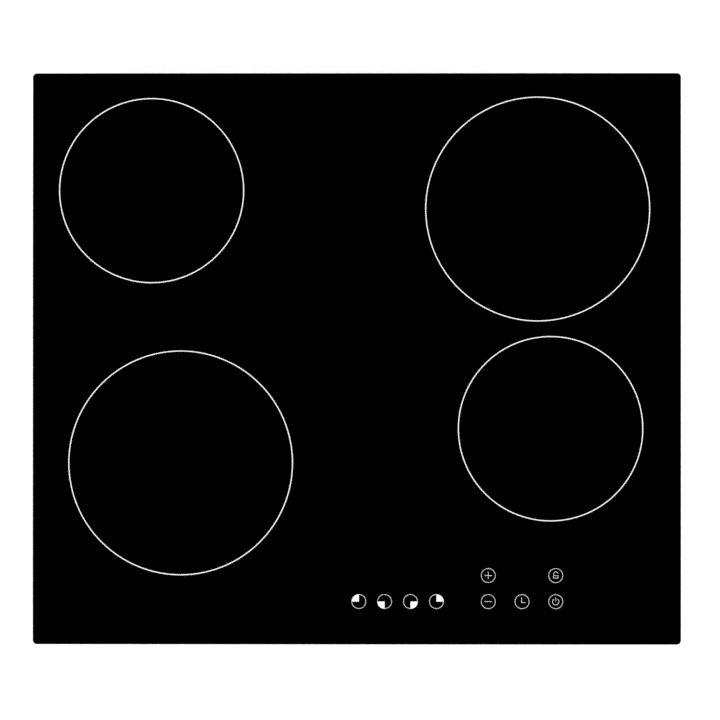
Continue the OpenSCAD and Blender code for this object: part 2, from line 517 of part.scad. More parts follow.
module ribbon_cable() color("#b9b9bd") {
    sweep(spline([[60, -186, 43.4], [60, -186, 41], [60, -184, 38.9], [60, -175, 38.5], [60, -165.5, 38.5], [60, -161.5, 36.8], [60.5, -160, 33.6], [63, -155, 31.4], [72, -146, 31], [79, -137, 31], [80, -132.4, 29], [80, -132, 26]], 3),
        [[0.4, -7], [0.4, 7], [-0.4, 7], [-0.4, -7]], [0, 1, 0]);
    box3(72, -136, 22.6, 88, -128, 27);
}

// ---------- mains connection ----------
module terminal_box() color("#e8e8e4") difference() {
    union() {
        box3(-tb_x - 2.5, tb_y[0] - 2.5, z_in, tb_x + 2.5, tb_y[1] + 3.5, 34.4);
        box3(-tb_x - 15, tb_y[0] + 4, z_in, tb_x + 15, tb_y[1] - 2, z_in + 1.6);
    }
    box3(-tb_x, tb_y[0], z_in - 1, tb_x, tb_y[1], 32.2);
    box3(-31, tb_y[0] - 6, 22.5, 31, tb_y[0] + 2, 30);
    translate([0, body_d / 2, 20]) rotate([90, 0, 0]) cylinder(r = 10.8, h = 30, center = true);
    for (p = BOX_SCREWS) translate([p[0], p[1], z_in - 1]) cylinder(r = 2.1, h = 4);
}
POLES = [-27.5, -16.5, -5.5, 5.5, 16.5, 27.5];
module terminal_block() color("#d9d4c4") {
    difference() {
        box3(-33, 175, 20.2, 33, 193, 32.2);
        for (x = POLES) translate([x, 184, 15.2]) cylinder(r = 3.2, h = 9);
        for (x = POLES) translate([x, 194, 26.2]) rotate([90, 0, 0]) cylinder(r = 2.6, h = 7);
        for (x = POLES) translate([x, 182, 26.2]) rotate([90, 0, 0]) cylinder(r = 2.6, h = 8);
    }
    for (x = POLES) translate([x, 184, 21.6]) difference() { cylinder(r = 2.7, h = 2.7); translate([-3, -0.4, -1]) cube([6, 0.8, 1.8]); }
}
module terminal_cover() color("#2b2c30") {
    zc = z_floor - 0.6;
    translate([0, hinge_y, hinge_z]) rotate([0, 90, 0]) cylinder(r = 2.0, h = 2 * lug_x - 1, center = true);
    translate([0, hinge_y, hinge_z]) rotate([0, 90, 0]) cylinder(r = 1.0, h = 2 * lug_x + 6, center = true);
    difference() {
        union() {
            box3(-lug_x + 0.5, hinge_y, zc - 2.2, lug_x - 0.5, hinge_y + 6, zc);
            translate([0, (hinge_y + 4 + 238) / 2, zc - 2.2]) rrect(2 * tb_x + 8, 238 - hinge_y - 4, 2.5, 2.2);
        }
        for (k = [-3:3]) translate([k * 9, 203, zc - 3]) linear_extrude(1.6) rotate(90) slot2(44, 2.4);
    }
    difference() {
        box3(-tb_x + 0.6, tb_y[0] + 1.2, zc - 0.1, tb_x - 0.6, tb_y[1] - 0.8, zc + 2.8);
        box3(-tb_x + 2.2, tb_y[0] + 2.8, zc - 1, tb_x - 2.2, tb_y[1] - 2.4, zc + 5);
    }
}
module cable_gland() color("#1d1e20") translate([0, body_d / 2, 20]) rotate([-90, 0, 0]) difference() {
    union() {
        translate([0, 0, -9]) cylinder(r = 10.5, h = 9);
        cylinder(r = 13.5, h = 2.6);
        translate([0, 0, -11.3]) cylinder(r = 13.2, h = 4.2, $fn = 6);
    }
    translate([0, 0, -20]) cylinder(r = 7, h = 30);
}
// Mains wires from the terminal block to both boards' relays, and the fans' leads
module wiring_harness() color("#5a3b22") {
    for (s = [-1, 1]) {
        for (j = [0:2]) {
            x = s * (5.5 + 11 * j);
            wire([[x, 180.5, 26.2], [x, 171, 26.2], [x + s * 2, 158, 25.5], [s * (32 + j * 5), 138, 24], [s * (40 + j * 6), 112, 25],
                  [s * (52 + j * 7), 84, 30], [s * (63 + j * 8), 58, 32], [s * (66 + j * 8), 48, 31.4], [s * (66 + j * 8), 41, 31.4]], 1.5, 2, 8);
            translate([s * (66 + j * 8) - 2.2, 37, 28.6]) cube([4.4, 8, 5]);
        }
        wire([[s * 100.4, 140, 24], [s * 98.5, 137, 24], [s * 97, 128, 24], [s * 97, 108, 24.6], [s * 99, 88, 25.2], [s * 100, 78, 25.2], [s * 100, 72, 25.2]], 1.2, 2, 6);
        translate([s * 100 - 7, 66.5, 22.6]) cube([14, 7, 5]);
    }
}

// ---------- worktop clamps ----------
module clamp_bracket(k) color("#c4c8cc") translate([CLAMPS[k][0], CLAMPS[k][1], 0]) rotate(CLAMPS[k][1] > 0 ? -90 : 90) difference() {
    union() {
        translate([0, 0, z_floor - 2.3]) linear_extrude(2) { circle(8); translate([0, -8]) square([clamp_reach - 5, 16]); translate([clamp_reach - 5, -3]) square([5, 6]); for (s = [-1, 1]) translate([clamp_reach - 5, s * 3]) circle(5); }
        for (s = [0, 1]) mirror([0, s, 0]) box3(7, 6.6, z_floor - 4, clamp_reach - 6, 8, z_floor - 2.2);
    }
    translate([0, 0, -1]) cylinder(r = 2.56, h = 20);
}
module clamp_screws() color("#d2d4d6") for (c = CLAMPS) translate([c[0], c[1], z_floor - 2.4]) mirror([0, 0, 1]) screw(2.5, 11, 4.8, 2.6);

glass_plate();
zone_rings();
control_symbols();
worktop_seal();
frame_rails();
base_tray();
coil_plate();
plate_standoffs();
assembly_screws();
guide_posts();
coil_springs();
coil_carrier(0);  // coil_carrier_rear_left
coil_carrier(1);  // coil_carrier_rear_right
coil_carrier(2);  // coil_carrier_front_left
coil_carrier(3);  // coil_carrier_front_right
ferrite_bars(0);  // ferrite_bars_rear_left
ferrite_bars(1);  // ferrite_bars_rear_right
ferrite_bars(2);  // ferrite_bars_front_left
ferrite_bars(3);  // ferrite_bars_front_right
coil_winding(0);  // coil_winding_rear_left
coil_winding(1);  // coil_winding_rear_right
coil_winding(2);  // coil_winding_front_left
coil_winding(3);  // coil_winding_front_right
mica_disc(0);  // mica_disc_rear_left
mica_disc(1);  // mica_disc_rear_right
mica_disc(2);  // mica_disc_front_left
mica_disc(3);  // mica_disc_front_right
zone_sensor(0);  // zone_sensor_rear_left
zone_sensor(1);  // zone_sensor_rear_right
zone_sensor(2);  // zone_sensor_front_left
zone_sensor(3);  // zone_sensor_front_right
coil_leads();
color("#d9dadc") board_tray();  // board_tray_left
color("#d9dadc") sided(1) board_tray();  // board_tray_right
color("#2f6b3f") power_board();  // power_board_left
color("#2f6b3f") sided(1) power_board();  // power_board_right
color("#a9adb2") heatsink();  // heatsink_left
color("#a9adb2") sided(1) heatsink();  // heatsink_right
power_transistors();
film_capacitors();
choke_coils();
color("#303236") fan_housing();  // fan_housing_left
color("#303236") sided(1) fan_housing();  // fan_housing_right
color("#1f2023") fan_rotor();  // fan_rotor_left
color("#1f2023") sided(1) fan_rotor();  // fan_rotor_right
control_holder();
control_board();
touch_springs();
display_modules();
ribbon_cable();
terminal_box();
terminal_block();
terminal_cover();
cable_gland();
wiring_harness();
clamp_bracket(0);  // clamp_bracket_rear_left
clamp_bracket(1);  // clamp_bracket_rear_right
clamp_bracket(2);  // clamp_bracket_front_left
clamp_bracket(3);  // clamp_bracket_front_right
clamp_screws();
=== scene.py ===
# Looks of the built-in induction cooktop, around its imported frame. Metres, +Z up, +X right, +Y back.
import math
import random

import bmesh
import bpy
from mathutils import Matrix, Vector


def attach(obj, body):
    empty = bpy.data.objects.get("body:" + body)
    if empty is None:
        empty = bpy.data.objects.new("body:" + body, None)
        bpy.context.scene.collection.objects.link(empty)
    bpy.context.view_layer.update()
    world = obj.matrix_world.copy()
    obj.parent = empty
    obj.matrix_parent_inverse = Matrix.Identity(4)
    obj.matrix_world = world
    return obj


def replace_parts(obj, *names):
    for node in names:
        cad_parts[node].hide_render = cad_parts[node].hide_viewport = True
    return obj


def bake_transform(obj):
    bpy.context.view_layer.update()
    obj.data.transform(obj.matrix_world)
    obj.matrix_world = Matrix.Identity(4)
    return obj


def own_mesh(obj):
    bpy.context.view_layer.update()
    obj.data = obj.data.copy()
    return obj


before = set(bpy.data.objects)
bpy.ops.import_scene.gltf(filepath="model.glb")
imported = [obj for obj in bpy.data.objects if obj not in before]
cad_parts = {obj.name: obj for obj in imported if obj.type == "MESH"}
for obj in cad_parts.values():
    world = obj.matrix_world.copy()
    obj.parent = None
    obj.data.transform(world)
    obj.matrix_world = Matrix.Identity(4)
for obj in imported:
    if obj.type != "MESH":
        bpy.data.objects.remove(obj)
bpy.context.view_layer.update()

MM = 0.001
random.seed(7)
TAU = 2 * math.pi
scene = bpy.context.scene

# ------------------------------------------------------------------ camera, light, floor
scene.view_settings.view_transform = "Standard"
scene.view_settings.look = "None"
scene.view_settings.exposure = 0.0
scene.view_settings.gamma = 1.0

cam_data = bpy.data.cameras.new("camera")
cam_data.type = "PERSP"
cam_data.sensor_width = 36.0
cam_data.lens = 85.0
cam_data.clip_start = 0.01
cam_data.clip_end = 60
cam = bpy.data.objects.new("camera", cam_data)
scene.collection.objects.link(cam)
cam.location = (0.00871, -0.00386, 1.60655)
cam.rotation_euler = (0.001756, 0.003673, 0.000179)
scene.camera = cam


def area_light(name, loc, target, size, power, size_y=None, color=(1, 1, 1)):
    d = bpy.data.lights.new(name, "AREA")
    d.shape = "RECTANGLE"
    d.size = size
    d.size_y = size_y or size
    d.energy = power
    d.color = color
    o = bpy.data.objects.new(name, d)
    scene.collection.objects.link(o)
    o.location = loc
    o.rotation_euler = (Vector(target) - Vector(loc)).to_track_quat("-Z", "Y").to_euler()
    return o


# Softboxes stay well off the vertical, so that the glass mirrors none of them straight up.
area_light("key", (-1.9, -1.5, 1.75), (0, 0, 0.0), 1.5, 46)
area_light("fill", (2.2, -0.9, 1.35), (0, 0, 0.0), 1.4, 26)
area_light("back", (0.5, 2.3, 1.5), (0, 0, 0.0), 1.8, 30, 0.9)

world = bpy.data.worlds.new("studio")
scene.world = world
world.use_nodes = True
wn = world.node_tree
wn.nodes.clear()
w_out = wn.nodes.new("ShaderNodeOutputWorld")
w_bg = wn.nodes.new("ShaderNodeBackground")
w_tc = wn.nodes.new("ShaderNodeTexCoord")
w_sep = wn.nodes.new("ShaderNodeSeparateXYZ")
w_ramp = wn.nodes.new("ShaderNodeValToRGB")
w_ramp.color_ramp.interpolation = "EASE"
els = w_ramp.color_ramp.elements
els[0].position = 0.0
els[0].color = (1.0, 1.0, 1.0, 1)
els[1].position = 0.93
els[1].color = (0, 0, 0, 1)
e = els.new(0.42)
e.color = (0.98, 0.98, 0.99, 1)
e = els.new(0.80)
e.color = (0.62, 0.62, 0.63, 1)
wn.links.new(w_tc.outputs["Generated"], w_sep.inputs[0])
wn.links.new(w_sep.outputs["Z"], w_ramp.inputs[0])
wn.links.new(w_ramp.outputs[0], w_bg.inputs[0])
w_bg.inputs[1].default_value = 1.0
wn.links.new(w_bg.outputs[0], w_out.inputs[0])


# ------------------------------------------------------------------ materials
class Mat:
    """A small builder for one procedural material."""

    def __init__(self, name, base=(0.5, 0.5, 0.5), rough=0.5, metal=0.0, spec=0.5, ior=None):
        self.m = bpy.data.materials.new(name)
        self.m.use_nodes = True
        self.nt = self.m.node_tree
        self.b = next(n for n in self.nt.nodes if n.type == "BSDF_PRINCIPLED")
        self.b.inputs["Base Color"].default_value = (*base, 1)
        self.b.inputs["Roughness"].default_value = rough
        self.b.inputs["Metallic"].default_value = metal
        self.b.inputs["Specular IOR Level"].default_value = spec
        if ior:
            self.b.inputs["IOR"].default_value = ior
        self.m.diffuse_color = (*base, 1)
        self._tc = None
        self._normal = None

    def n(self, kind, **kw):
        node = self.nt.nodes.new(kind)
        for k, v in kw.items():
            setattr(node, k, v)
        return node

    def put(self, sock, value):
        if hasattr(value, "is_output"):
            self.nt.links.new(value, sock)
        elif isinstance(value, (tuple, list)) and len(value) == 3 and sock.type == "RGBA":
            sock.default_value = (*value, 1)
        else:
            sock.default_value = value

    def coord(self, scale=(1, 1, 1), rot=(0, 0, 0)):
        if self._tc is None:
            self._tc = self.n("ShaderNodeTexCoord")
        mp = self.n("ShaderNodeMapping")
        mp.inputs["Scale"].default_value = scale
        mp.inputs["Rotation"].default_value = rot
        self.nt.links.new(self._tc.outputs["Object"], mp.inputs["Vector"])
        return mp.outputs[0]

    def noise(self, scale, detail=3.0, rough=0.55, vec=None, dist=0.0, color=False):
        t = self.n("ShaderNodeTexNoise")
        self.put(t.inputs["Vector"], vec or self.coord())
        t.inputs["Scale"].default_value = scale
        t.inputs["Detail"].default_value = detail
        t.inputs["Roughness"].default_value = rough
        t.inputs["Distortion"].default_value = dist
        return t.outputs["Color" if color else "Fac"]

    def voronoi(self, scale, out="Distance", feature="F1", vec=None, rnd=1.0):
        t = self.n("ShaderNodeTexVoronoi", feature=feature)
        self.put(t.inputs["Vector"], vec or self.coord())
        t.inputs["Scale"].default_value = scale
        t.inputs["Randomness"].default_value = rnd
        return t.outputs[out]

    def attr(self, name):
        a = self.n("ShaderNodeAttribute", attribute_name=name)
        return a.outputs["Fac"]

    def sep(self, vec):
        s = self.n("ShaderNodeSeparateXYZ")
        self.put(s.inputs[0], vec)
        return s.outputs

    def bw(self, col):
        s = self.n("ShaderNodeRGBToBW")
        self.put(s.inputs[0], col)
        return s.outputs[0]

    def math(self, op, a, b=0.0, c=None, clamp=False):
        t = self.n("ShaderNodeMath", operation=op, use_clamp=clamp)
        self.put(t.inputs[0], a)
        self.put(t.inputs[1], b)
        if c is not None:
            self.put(t.inputs[2], c)
        return t.outputs[0]

    def remap(self, v, a, b, c, d):
        t = self.n("ShaderNodeMapRange")
        t.clamp = True
        self.put(t.inputs["Value"], v)
        for k, x in (("From Min", a), ("From Max", b), ("To Min", c), ("To Max", d)):
            t.inputs[k].default_value = x
        return t.outputs[0]

    def ramp(self, fac, stops, interp="LINEAR"):
        t = self.n("ShaderNodeValToRGB")
        t.color_ramp.interpolation = interp
        el = t.color_ramp.elements
        el[0].position, el[0].color = stops[0][0], (*stops[0][1], 1)
        el[1].position, el[1].color = stops[-1][0], (*stops[-1][1], 1)
        for p, c in stops[1:-1]:
            x = el.new(p)
            x.color = (*c, 1)
        self.put(t.inputs[0], fac)
        return t.outputs[0]

    def mix(self, fac, a, b, mode="MIX"):
        t = self.n("ShaderNodeMix", data_type="RGBA", blend_type=mode)
        self.put(t.inputs[0], fac)
        self.put(t.inputs[6], a)
        self.put(t.inputs[7], b)
        return t.outputs[2]

    def bump(self, height, dist, strength=1.0):
        t = self.n("ShaderNodeBump")
        t.inputs["Strength"].default_value = strength
        t.inputs["Distance"].default_value = dist
        self.put(t.inputs["Height"], height)
        if self._normal is not None:
            self.nt.links.new(self._normal, t.inputs["Normal"])
        self._normal = t.outputs[0]
        return self

    def bevel(self, radius, samples=4):
        t = self.n("ShaderNodeBevel", samples=samples)
        t.inputs["Radius"].default_value = radius
        self._normal = t.outputs[0]
        return self

    def color(self, v):
        self.put(self.b.inputs["Base Color"], v)
        return self

    def rough(self, v):
        self.put(self.b.inputs["Roughness"], v)
        return self

    def set(self, name, v):
        self.put(self.b.inputs[name], v)
        return self

    def done(self):
        if self._normal is not None:
            self.nt.links.new(self._normal, self.b.inputs["Normal"])
        return self.m


def shade(c, k):
    return tuple(min(1.0, x * k) for x in c)


def plastic(name, base, rough=0.45, grain=900, depth=0.02e-3, var=0.10, bevel=0.0, spec=0.45):
    """Moulded plastic: fine spark-eroded grain, soft tone drift, slightly uneven gloss."""
    m = Mat(name, base, rough, 0.0, spec)
    if bevel:
        m.bevel(bevel)
    big = m.noise(38, 3, 0.6)
    fine = m.noise(grain, 2, 0.7)
    m.color(m.mix(m.remap(big, 0.3, 0.7, 0, 1), shade(base, 1 - var), shade(base, 1 + var)))
    m.rough(m.remap(m.math("ADD", m.math("MULTIPLY", big, 0.6), m.math("MULTIPLY", fine, 0.4)), 0.3, 0.7, rough - 0.08, rough + 0.1))
    m.bump(fine, depth)
    return m.done()


def sheet_metal(name, base, rough=0.34, spangle=True, metal=0.92, bevel=0.25e-3):
    """Zinc-coated rolled sheet: spangle cells, faint rolling lines, small scuffs."""
    m = Mat(name, base, rough, metal)
    if bevel:
        m.bevel(bevel)
    roll = m.noise(240, 4, 0.6, vec=m.coord((0.05, 1, 1)))
    fine = m.noise(1500, 2, 0.6)
    cell = m.bw(m.voronoi(150 if spangle else 420, out="Color"))
    drift = m.noise(11, 4, 0.6)
    t = m.math("ADD", m.math("MULTIPLY", cell, 0.42 if spangle else 0.15), m.math("ADD", m.math("MULTIPLY", roll, 0.38), m.math("MULTIPLY", drift, 0.3)))
    m.color(m.mix(m.remap(t, 0.3, 0.8, 0, 1), shade(base, 0.80), shade(base, 1.10)))
    m.rough(m.remap(t, 0.3, 0.8, rough - 0.07, rough + 0.14))
    m.bump(roll, 0.006e-3)
    m.bump(fine, 0.003e-3)
    return m.done()


def turned(name, base, rough=0.3, metal=1.0, bevel=0.0):
    """Machined or plated small metal part: fine tool marks and light staining."""
    m = Mat(name, base, rough, metal)
    if bevel:
        m.bevel(bevel)
    lines = m.noise(900, 3, 0.5, vec=m.coord((0.35, 0.35, 4)))
    stain = m.noise(160, 4, 0.6)
    m.color(m.mix(m.remap(stain, 0.35, 0.7, 0, 1), shade(base, 0.82), shade(base, 1.08)))
    m.rough(m.remap(m.math("ADD", m.math("MULTIPLY", lines, 0.5), m.math("MULTIPLY", stain, 0.5)), 0.3, 0.7, rough - 0.08, rough + 0.16))
    m.bump(lines, 0.008e-3)
    return m.done()


def glass_mat():
    """Black glass-ceramic seen from above: opaque, polished, with only faint wiping marks."""
    m = Mat("black_glass", (0.00012, 0.00012, 0.00013), 0.035, 0.0, 0.5, 1.5)
    wipe = m.noise(7, 5, 0.6, vec=m.coord((1, 0.35, 1), (0, 0, 0.5)), dist=0.8)
    dust = m.noise(260, 3, 0.6)
    m.rough(m.remap(m.math("ADD", m.math("MULTIPLY", wipe, 0.7), m.math("MULTIPLY", dust, 0.3)), 0.35, 0.7, 0.02, 0.065))
    m.color(m.mix(m.remap(dust, 0.45, 0.75, 0, 1), (0.0001, 0.0001, 0.00011), (0.0002, 0.0002, 0.00022)))
    return m.done()


def glass_edge_mat():
    """Ground and fire-dulled edge of the glass."""
    m = Mat("glass_ground_edge", (0.0016, 0.0018, 0.0018), 0.32, 0.0, 0.3, 1.5)
    grind = m.noise(700, 4, 0.65, vec=m.coord((1, 1, 3)))
    m.color(m.mix(m.remap(grind, 0.35, 0.7, 0, 1), (0.0010, 0.0011, 0.0011), (0.0040, 0.0046, 0.0045)))
    m.rough(m.remap(grind, 0.3, 0.7, 0.24, 0.42))
    m.bump(grind, 0.006e-3)
    return m.done()


def glass_under_mat():
    """Printed matt-black back of the glass, with the dimpled look of rolled glass."""
    m = Mat("glass_back_print", (0.006, 0.006, 0.0065), 0.5, 0.0, 0.4)
    dim = m.voronoi(420)
    m.color(m.mix(m.noise(90, 3), (0.004, 0.004, 0.0045), (0.011, 0.011, 0.012)))
    m.rough(m.remap(dim, 0.0, 0.7, 0.4, 0.6))
    m.bump(dim, 0.02e-3)
    return m.done()


def print_mat():
    """White fired ceramic print: very fine grain, faintly uneven cover."""
    m = Mat("white_ceramic_print", (0.90, 0.90, 0.895), 0.42, 0.0, 0.4)
    g = m.noise(2600, 2, 0.7)
    c = m.noise(420, 3, 0.6)
    m.color(m.mix(m.remap(c, 0.3, 0.7, 0, 1), (0.87, 0.87, 0.865), (0.94, 0.94, 0.935)))
    m.rough(m.remap(g, 0.3, 0.7, 0.34, 0.52))
    m.bump(g, 0.002e-3)
    return m.done()


def foam_mat():
    m = Mat("seal_foam", (0.035, 0.035, 0.038), 0.85, 0.0, 0.25)
    cell = m.voronoi(2600)
    big = m.noise(60, 3)
    m.color(m.mix(m.remap(cell, 0.0, 0.6, 0, 1), (0.018, 0.018, 0.02), (0.062, 0.062, 0.066)))
    m.rough(m.remap(big, 0.3, 0.7, 0.78, 0.95))
    m.bump(cell, 0.12e-3)
    return m.done()


def floor_mat():
    m = Mat("studio_floor", (0.82, 0.82, 0.82), 0.75, 0.0, 0.2)
    g = m.noise(9, 3)
    m.color(m.mix(g, (0.80, 0.80, 0.80), (0.84, 0.84, 0.84)))
    m.set("Emission Color", (1.0, 1.0, 1.0, 1.0))
    m.set("Emission Strength", 0.45)
    return m.done()


# ------------------------------------------------------------------ mesh helpers
def link_obj(name, me, smooth=None):
    o = bpy.data.objects.new(name, me)
    scene.collection.objects.link(o)
    if smooth is not None:
        me.polygons.foreach_set("use_smooth", [True] * len(me.polygons))
        me.set_sharp_from_angle(angle=math.radians(smooth))
    return o


def mesh_obj(name, verts, faces, mats, fmat=None, smooth=30, attrs=None, weld=False, flat=True):
    me = bpy.data.meshes.new(name)
    me.from_pydata([tuple(v) for v in verts], [], faces)
    for m in mats if isinstance(mats, (list, tuple)) else [mats]:
        me.materials.append(m)
    if fmat:
        me.polygons.foreach_set("material_index", fmat)
    for k, vals in (attrs or {}).items():
        a = me.attributes.new(k, "FLOAT", "POINT")
        a.data.foreach_set("value", vals)
    me.update()
    bm = bmesh.new()
    bm.from_mesh(me)
    if weld:
        bmesh.ops.remove_doubles(bm, verts=bm.verts, dist=2e-6)
    bmesh.ops.recalc_face_normals(bm, faces=bm.faces)
    bm.to_mesh(me)
    bm.free()
    o = link_obj(name, me, smooth)
    if flat:
        # broad faces keep their own direction beside rounded edges
        w = o.modifiers.new("even_shading", "WEIGHTED_NORMAL")
        w.mode = "FACE_AREA"
        w.weight = 50
        w.keep_sharp = True
    return o


class Build:
    """Collects many solids into one mesh, in millimetres."""

    def __init__(self):
        self.v, self.f, self.m = [], [], []
        self.a = {}

    def add(self, verts, faces, mat=0, M=None, attrs=None):
        k = len(self.v)
        for p in verts:
            p = Vector(p)
            self.v.append(M @ p if M is not None else p)
        for f in faces:
            self.f.append([i + k for i in f])
            self.m.append(mat)
        for key, vals in (attrs or {}).items():
            self.a.setdefault(key, [0.0] * k)
            self.a[key].extend(vals)
        for key in self.a:
            if len(self.a[key]) < len(self.v):
                self.a[key].extend([0.0] * (len(self.v) - len(self.a[key])))
        return self

    def obj(self, name, mats, smooth=30, weld=False, flat=True):
        return mesh_obj(name, [v * MM for v in self.v], self.f, mats, self.m, smooth, self.a, weld, flat)


def arc(cx, cy, r, a0, a1, n):
    return [(cx + r * math.cos(math.radians(a0 + (a1 - a0) * i / n)), cy + r * math.sin(math.radians(a0 + (a1 - a0) * i / n))) for i in range(n + 1)]


def rr_outline(w, d, r, n=12, cx=0, cy=0):
    pts = []
    for sx, sy, a in ((1, 1, 0), (-1, 1, 90), (-1, -1, 180), (1, -1, 270)):
        pts += arc(cx + sx * (w / 2 - r), cy + sy * (d / 2 - r), r, a, a + 90, n)
    return pts


def loft(loops, cap_start=True, cap_end=True, closed=False):
    """Joins same-length loops of 3-D points."""
    n = len(loops[0])
    verts = [p for l in loops for p in l]
    faces = []
    m = len(loops)
    for i in range(m if closed else m - 1):
        a, b = i * n, ((i + 1) % m) * n
        for k in range(n):
            faces.append([a + k, a + (k + 1) % n, b + (k + 1) % n, b + k])
    if not closed:
        if cap_start:
            faces.append([k for k in range(n - 1, -1, -1)])
        if cap_end:
            faces.append([(m - 1) * n + k for k in range(n)])
    return verts, faces


def lathe(profile, n=48, closed=False):
    """Turns (r, z) points about Z. r = 0 ends become poles. A closed profile makes a ring."""
    verts, faces = [], []
    rows = []
    for r, z in profile:
        if r < 1e-9:
            rows.append([len(verts)])
            verts.append((0, 0, z))
        else:
            rows.append(list(range(len(verts), len(verts) + n)))
            verts += [(r * math.cos(TAU * k / n), r * math.sin(TAU * k / n), z) for k in range(n)]
    m = len(rows)
    for i in range(m if closed else m - 1):
        A, B = rows[i], rows[(i + 1) % m]
        for k in range(n):
            a0, a1 = A[k % len(A)], A[(k + 1) % len(A)]
            b0, b1 = B[k % len(B)], B[(k + 1) % len(B)]
            f = [a0, a1, b1, b0]
            g = []
            for x in f:
                if x not in g:
                    g.append(x)
            if len(g) > 2:
                faces.append(g)
    if not closed:
        if len(rows[0]) > 1:
            faces.append(rows[0][::-1])
        if len(rows[-1]) > 1:
            faces.append(rows[-1])
    return verts, faces


def bevel_box(x0, y0, z0, x1, y1, z1, r=0.5, seg=2):
    """A box with rounded edges, from bmesh."""
    bm = bmesh.new()
    bmesh.ops.create_cube(bm, size=1.0)
    for v in bm.verts:
        v.co = Vector(((x0 + x1) / 2 + v.co.x * (x1 - x0), (y0 + y1) / 2 + v.co.y * (y1 - y0), (z0 + z1) / 2 + v.co.z * (z1 - z0)))
    if r > 0:
        bmesh.ops.bevel(bm, geom=list(bm.edges), offset=r, offset_type="OFFSET", segments=seg, profile=0.5, affect="EDGES", clamp_overlap=True)
    bm.verts.index_update()
    verts = [v.co.copy() for v in bm.verts]
    faces = [[v.index for v in f.verts] for f in bm.faces]
    bm.free()
    return verts, faces


def cr(P, n):
    """Catmull-Rom spline, as the part's source draws it."""
    P = [Vector(p) for p in P]
    out = []
    for i in range(len(P) - 1):
        a = 2 * P[0] - P[1] if i == 0 else P[i - 1]
        b, c = P[i], P[i + 1]
        d = 2 * P[i + 1] - P[i] if i == len(P) - 2 else P[i + 2]
        for k in range(n):
            t = k / n
            out.append(0.5 * ((2 * b) + (c - a) * t + (2 * a - 5 * b + 4 * c - d) * t * t + (3 * b - a - 3 * c + d) * t * t * t))
    out.append(P[-1])
    return out


def frames(P, n0=None, closed=False):
    T = []
    for i in range(len(P)):
        if closed:
            t = P[(i + 1) % len(P)] - P[i - 1]
        else:
            t = P[1] - P[0] if i == 0 else (P[-1] - P[-2] if i == len(P) - 1 else P[i + 1] - P[i - 1])
        T.append(t.normalized())
    N = []
    for i, t in enumerate(T):
        if i == 0:
            r = Vector(n0) if n0 else (Vector((1, 0, 0)) if abs(t.z) > 0.9 else Vector((0, 0, 1)))
        else:
            r = N[-1]
        N.append((r - r.dot(t) * t).normalized())
    return T, N


def sweep(P, section, n0=None, closed=False):
    """Sweeps a list of (u, v) along points P. Returns verts, faces, and 'along' and 'around' attributes."""
    T, N = frames(P, n0, closed)
    loops, al, ar = [], [], []
    dist = 0.0
    m = len(section)
    for i, p in enumerate(P):
        if i:
            dist += (P[i] - P[i - 1]).length
        B = T[i].cross(N[i])
        loops.append([p + N[i] * u + B * v for u, v in section])
        al += [dist] * m
        ar += [k / m for k in range(m)]
    v, f = loft(loops, closed=closed)
    return v, [g[::-1] for g in f], {"along": al, "around": ar}


def circle_section(r, n):
    return [(r * math.cos(TAU * k / n), r * math.sin(TAU * k / n)) for k in range(n)]


def piece(o, body, node_slot, *nodes):
    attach(o, body)
    if nodes:
        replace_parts(o, *nodes)
    return o


# ------------------------------------------------------------------ layout, as in the part's source (mm)
Z_GLASS, Z_TOP = 56.0, 60.0
GW, GD, GR = 590.0, 520.0, 4.0
RING_S, RING_L = 83.8, 101.8
RING_LINE = 0.8
KEY_R, KEY_LINE = 6.38, 0.305
ZONES = {
    "rear_left": (-186.7, 153.0, RING_S, 77, 20, 72, 84, (0, 120, 240), -60),
    "rear_right": (164.6, 136.2, RING_L, 94, 24, 88, 101, (180, 60, 300), 240),
    "front_left": (-160.2, -94.8, RING_L, 94, 24, 88, 101, (0, 120, 240), 60),
    "front_right": (176.3, -63.6, RING_S, 77, 20, 72, 84, (180, 60, 300), 135),
}
KY = (-220.8, -197.1)
KX = (2.0, 25.4, 49.0, 72.6, 119.7, 150.4, 181.0)
KEYS = [(KX[0], KY[0]), (KX[1], KY[0]), (KX[2], KY[0]), (KX[3], KY[0]), (KX[4], KY[1]), (KX[4], KY[0]), (KX[5], KY[0]), (KX[6], KY[1]), (KX[6], KY[0])]


# ------------------------------------------------------------------ glass
def make_glass():
    prof = [(0.35, 0.0), (0.12, 0.10), (0.0, 0.35)]                       # inset, height: lower arris
    prof += [(0.0, 3.45)]
    prof += [(0.55 - 0.55 * math.cos(math.radians(a)), 3.45 + 0.55 * math.sin(math.radians(a))) for a in (15, 30, 45, 60, 75, 90)]
    loops = []
    for inset, h in prof:
        r = GR - inset
        loops.append([Vector((x, y, Z_GLASS + h)) for x, y in rr_outline(GW - 2 * inset, GD - 2 * inset, r, 16)])
    v, f = loft(loops)
    n = len(loops[0])
    m = [1] * ((len(loops) - 1) * n) + [2, 0]
    b = Build()
    b.add(v, f)
    b.m = m
    o = b.obj("glass_top", [M_GLASS, M_GLASS_EDGE, M_GLASS_BACK], 35)
    return piece(o, "hob", "black_glass", "glass_plate")


PRINT_H = 0.02


def flat_ring(b, cx, cy, r, w, seg):
    z0, z1 = Z_TOP, Z_TOP + PRINT_H
    v, f = lathe([(r - w / 2, z0), (r + w / 2, z0), (r + w / 2, z1), (r - w / 2, z1)], seg, closed=True)
    b.add(v, f, M=Matrix.Translation((cx, cy, 0)))


def flat_poly(b, pts):
    """A thin printed patch from a convex or fan-able outline."""
    n = len(pts)
    v = [Vector((x, y, Z_TOP)) for x, y in pts] + [Vector((x, y, Z_TOP + PRINT_H)) for x, y in pts]
    f = [list(range(n - 1, -1, -1)), list(range(n, 2 * n))] + [[k, (k + 1) % n, n + (k + 1) % n, n + k] for k in range(n)]
    b.add(v, f)


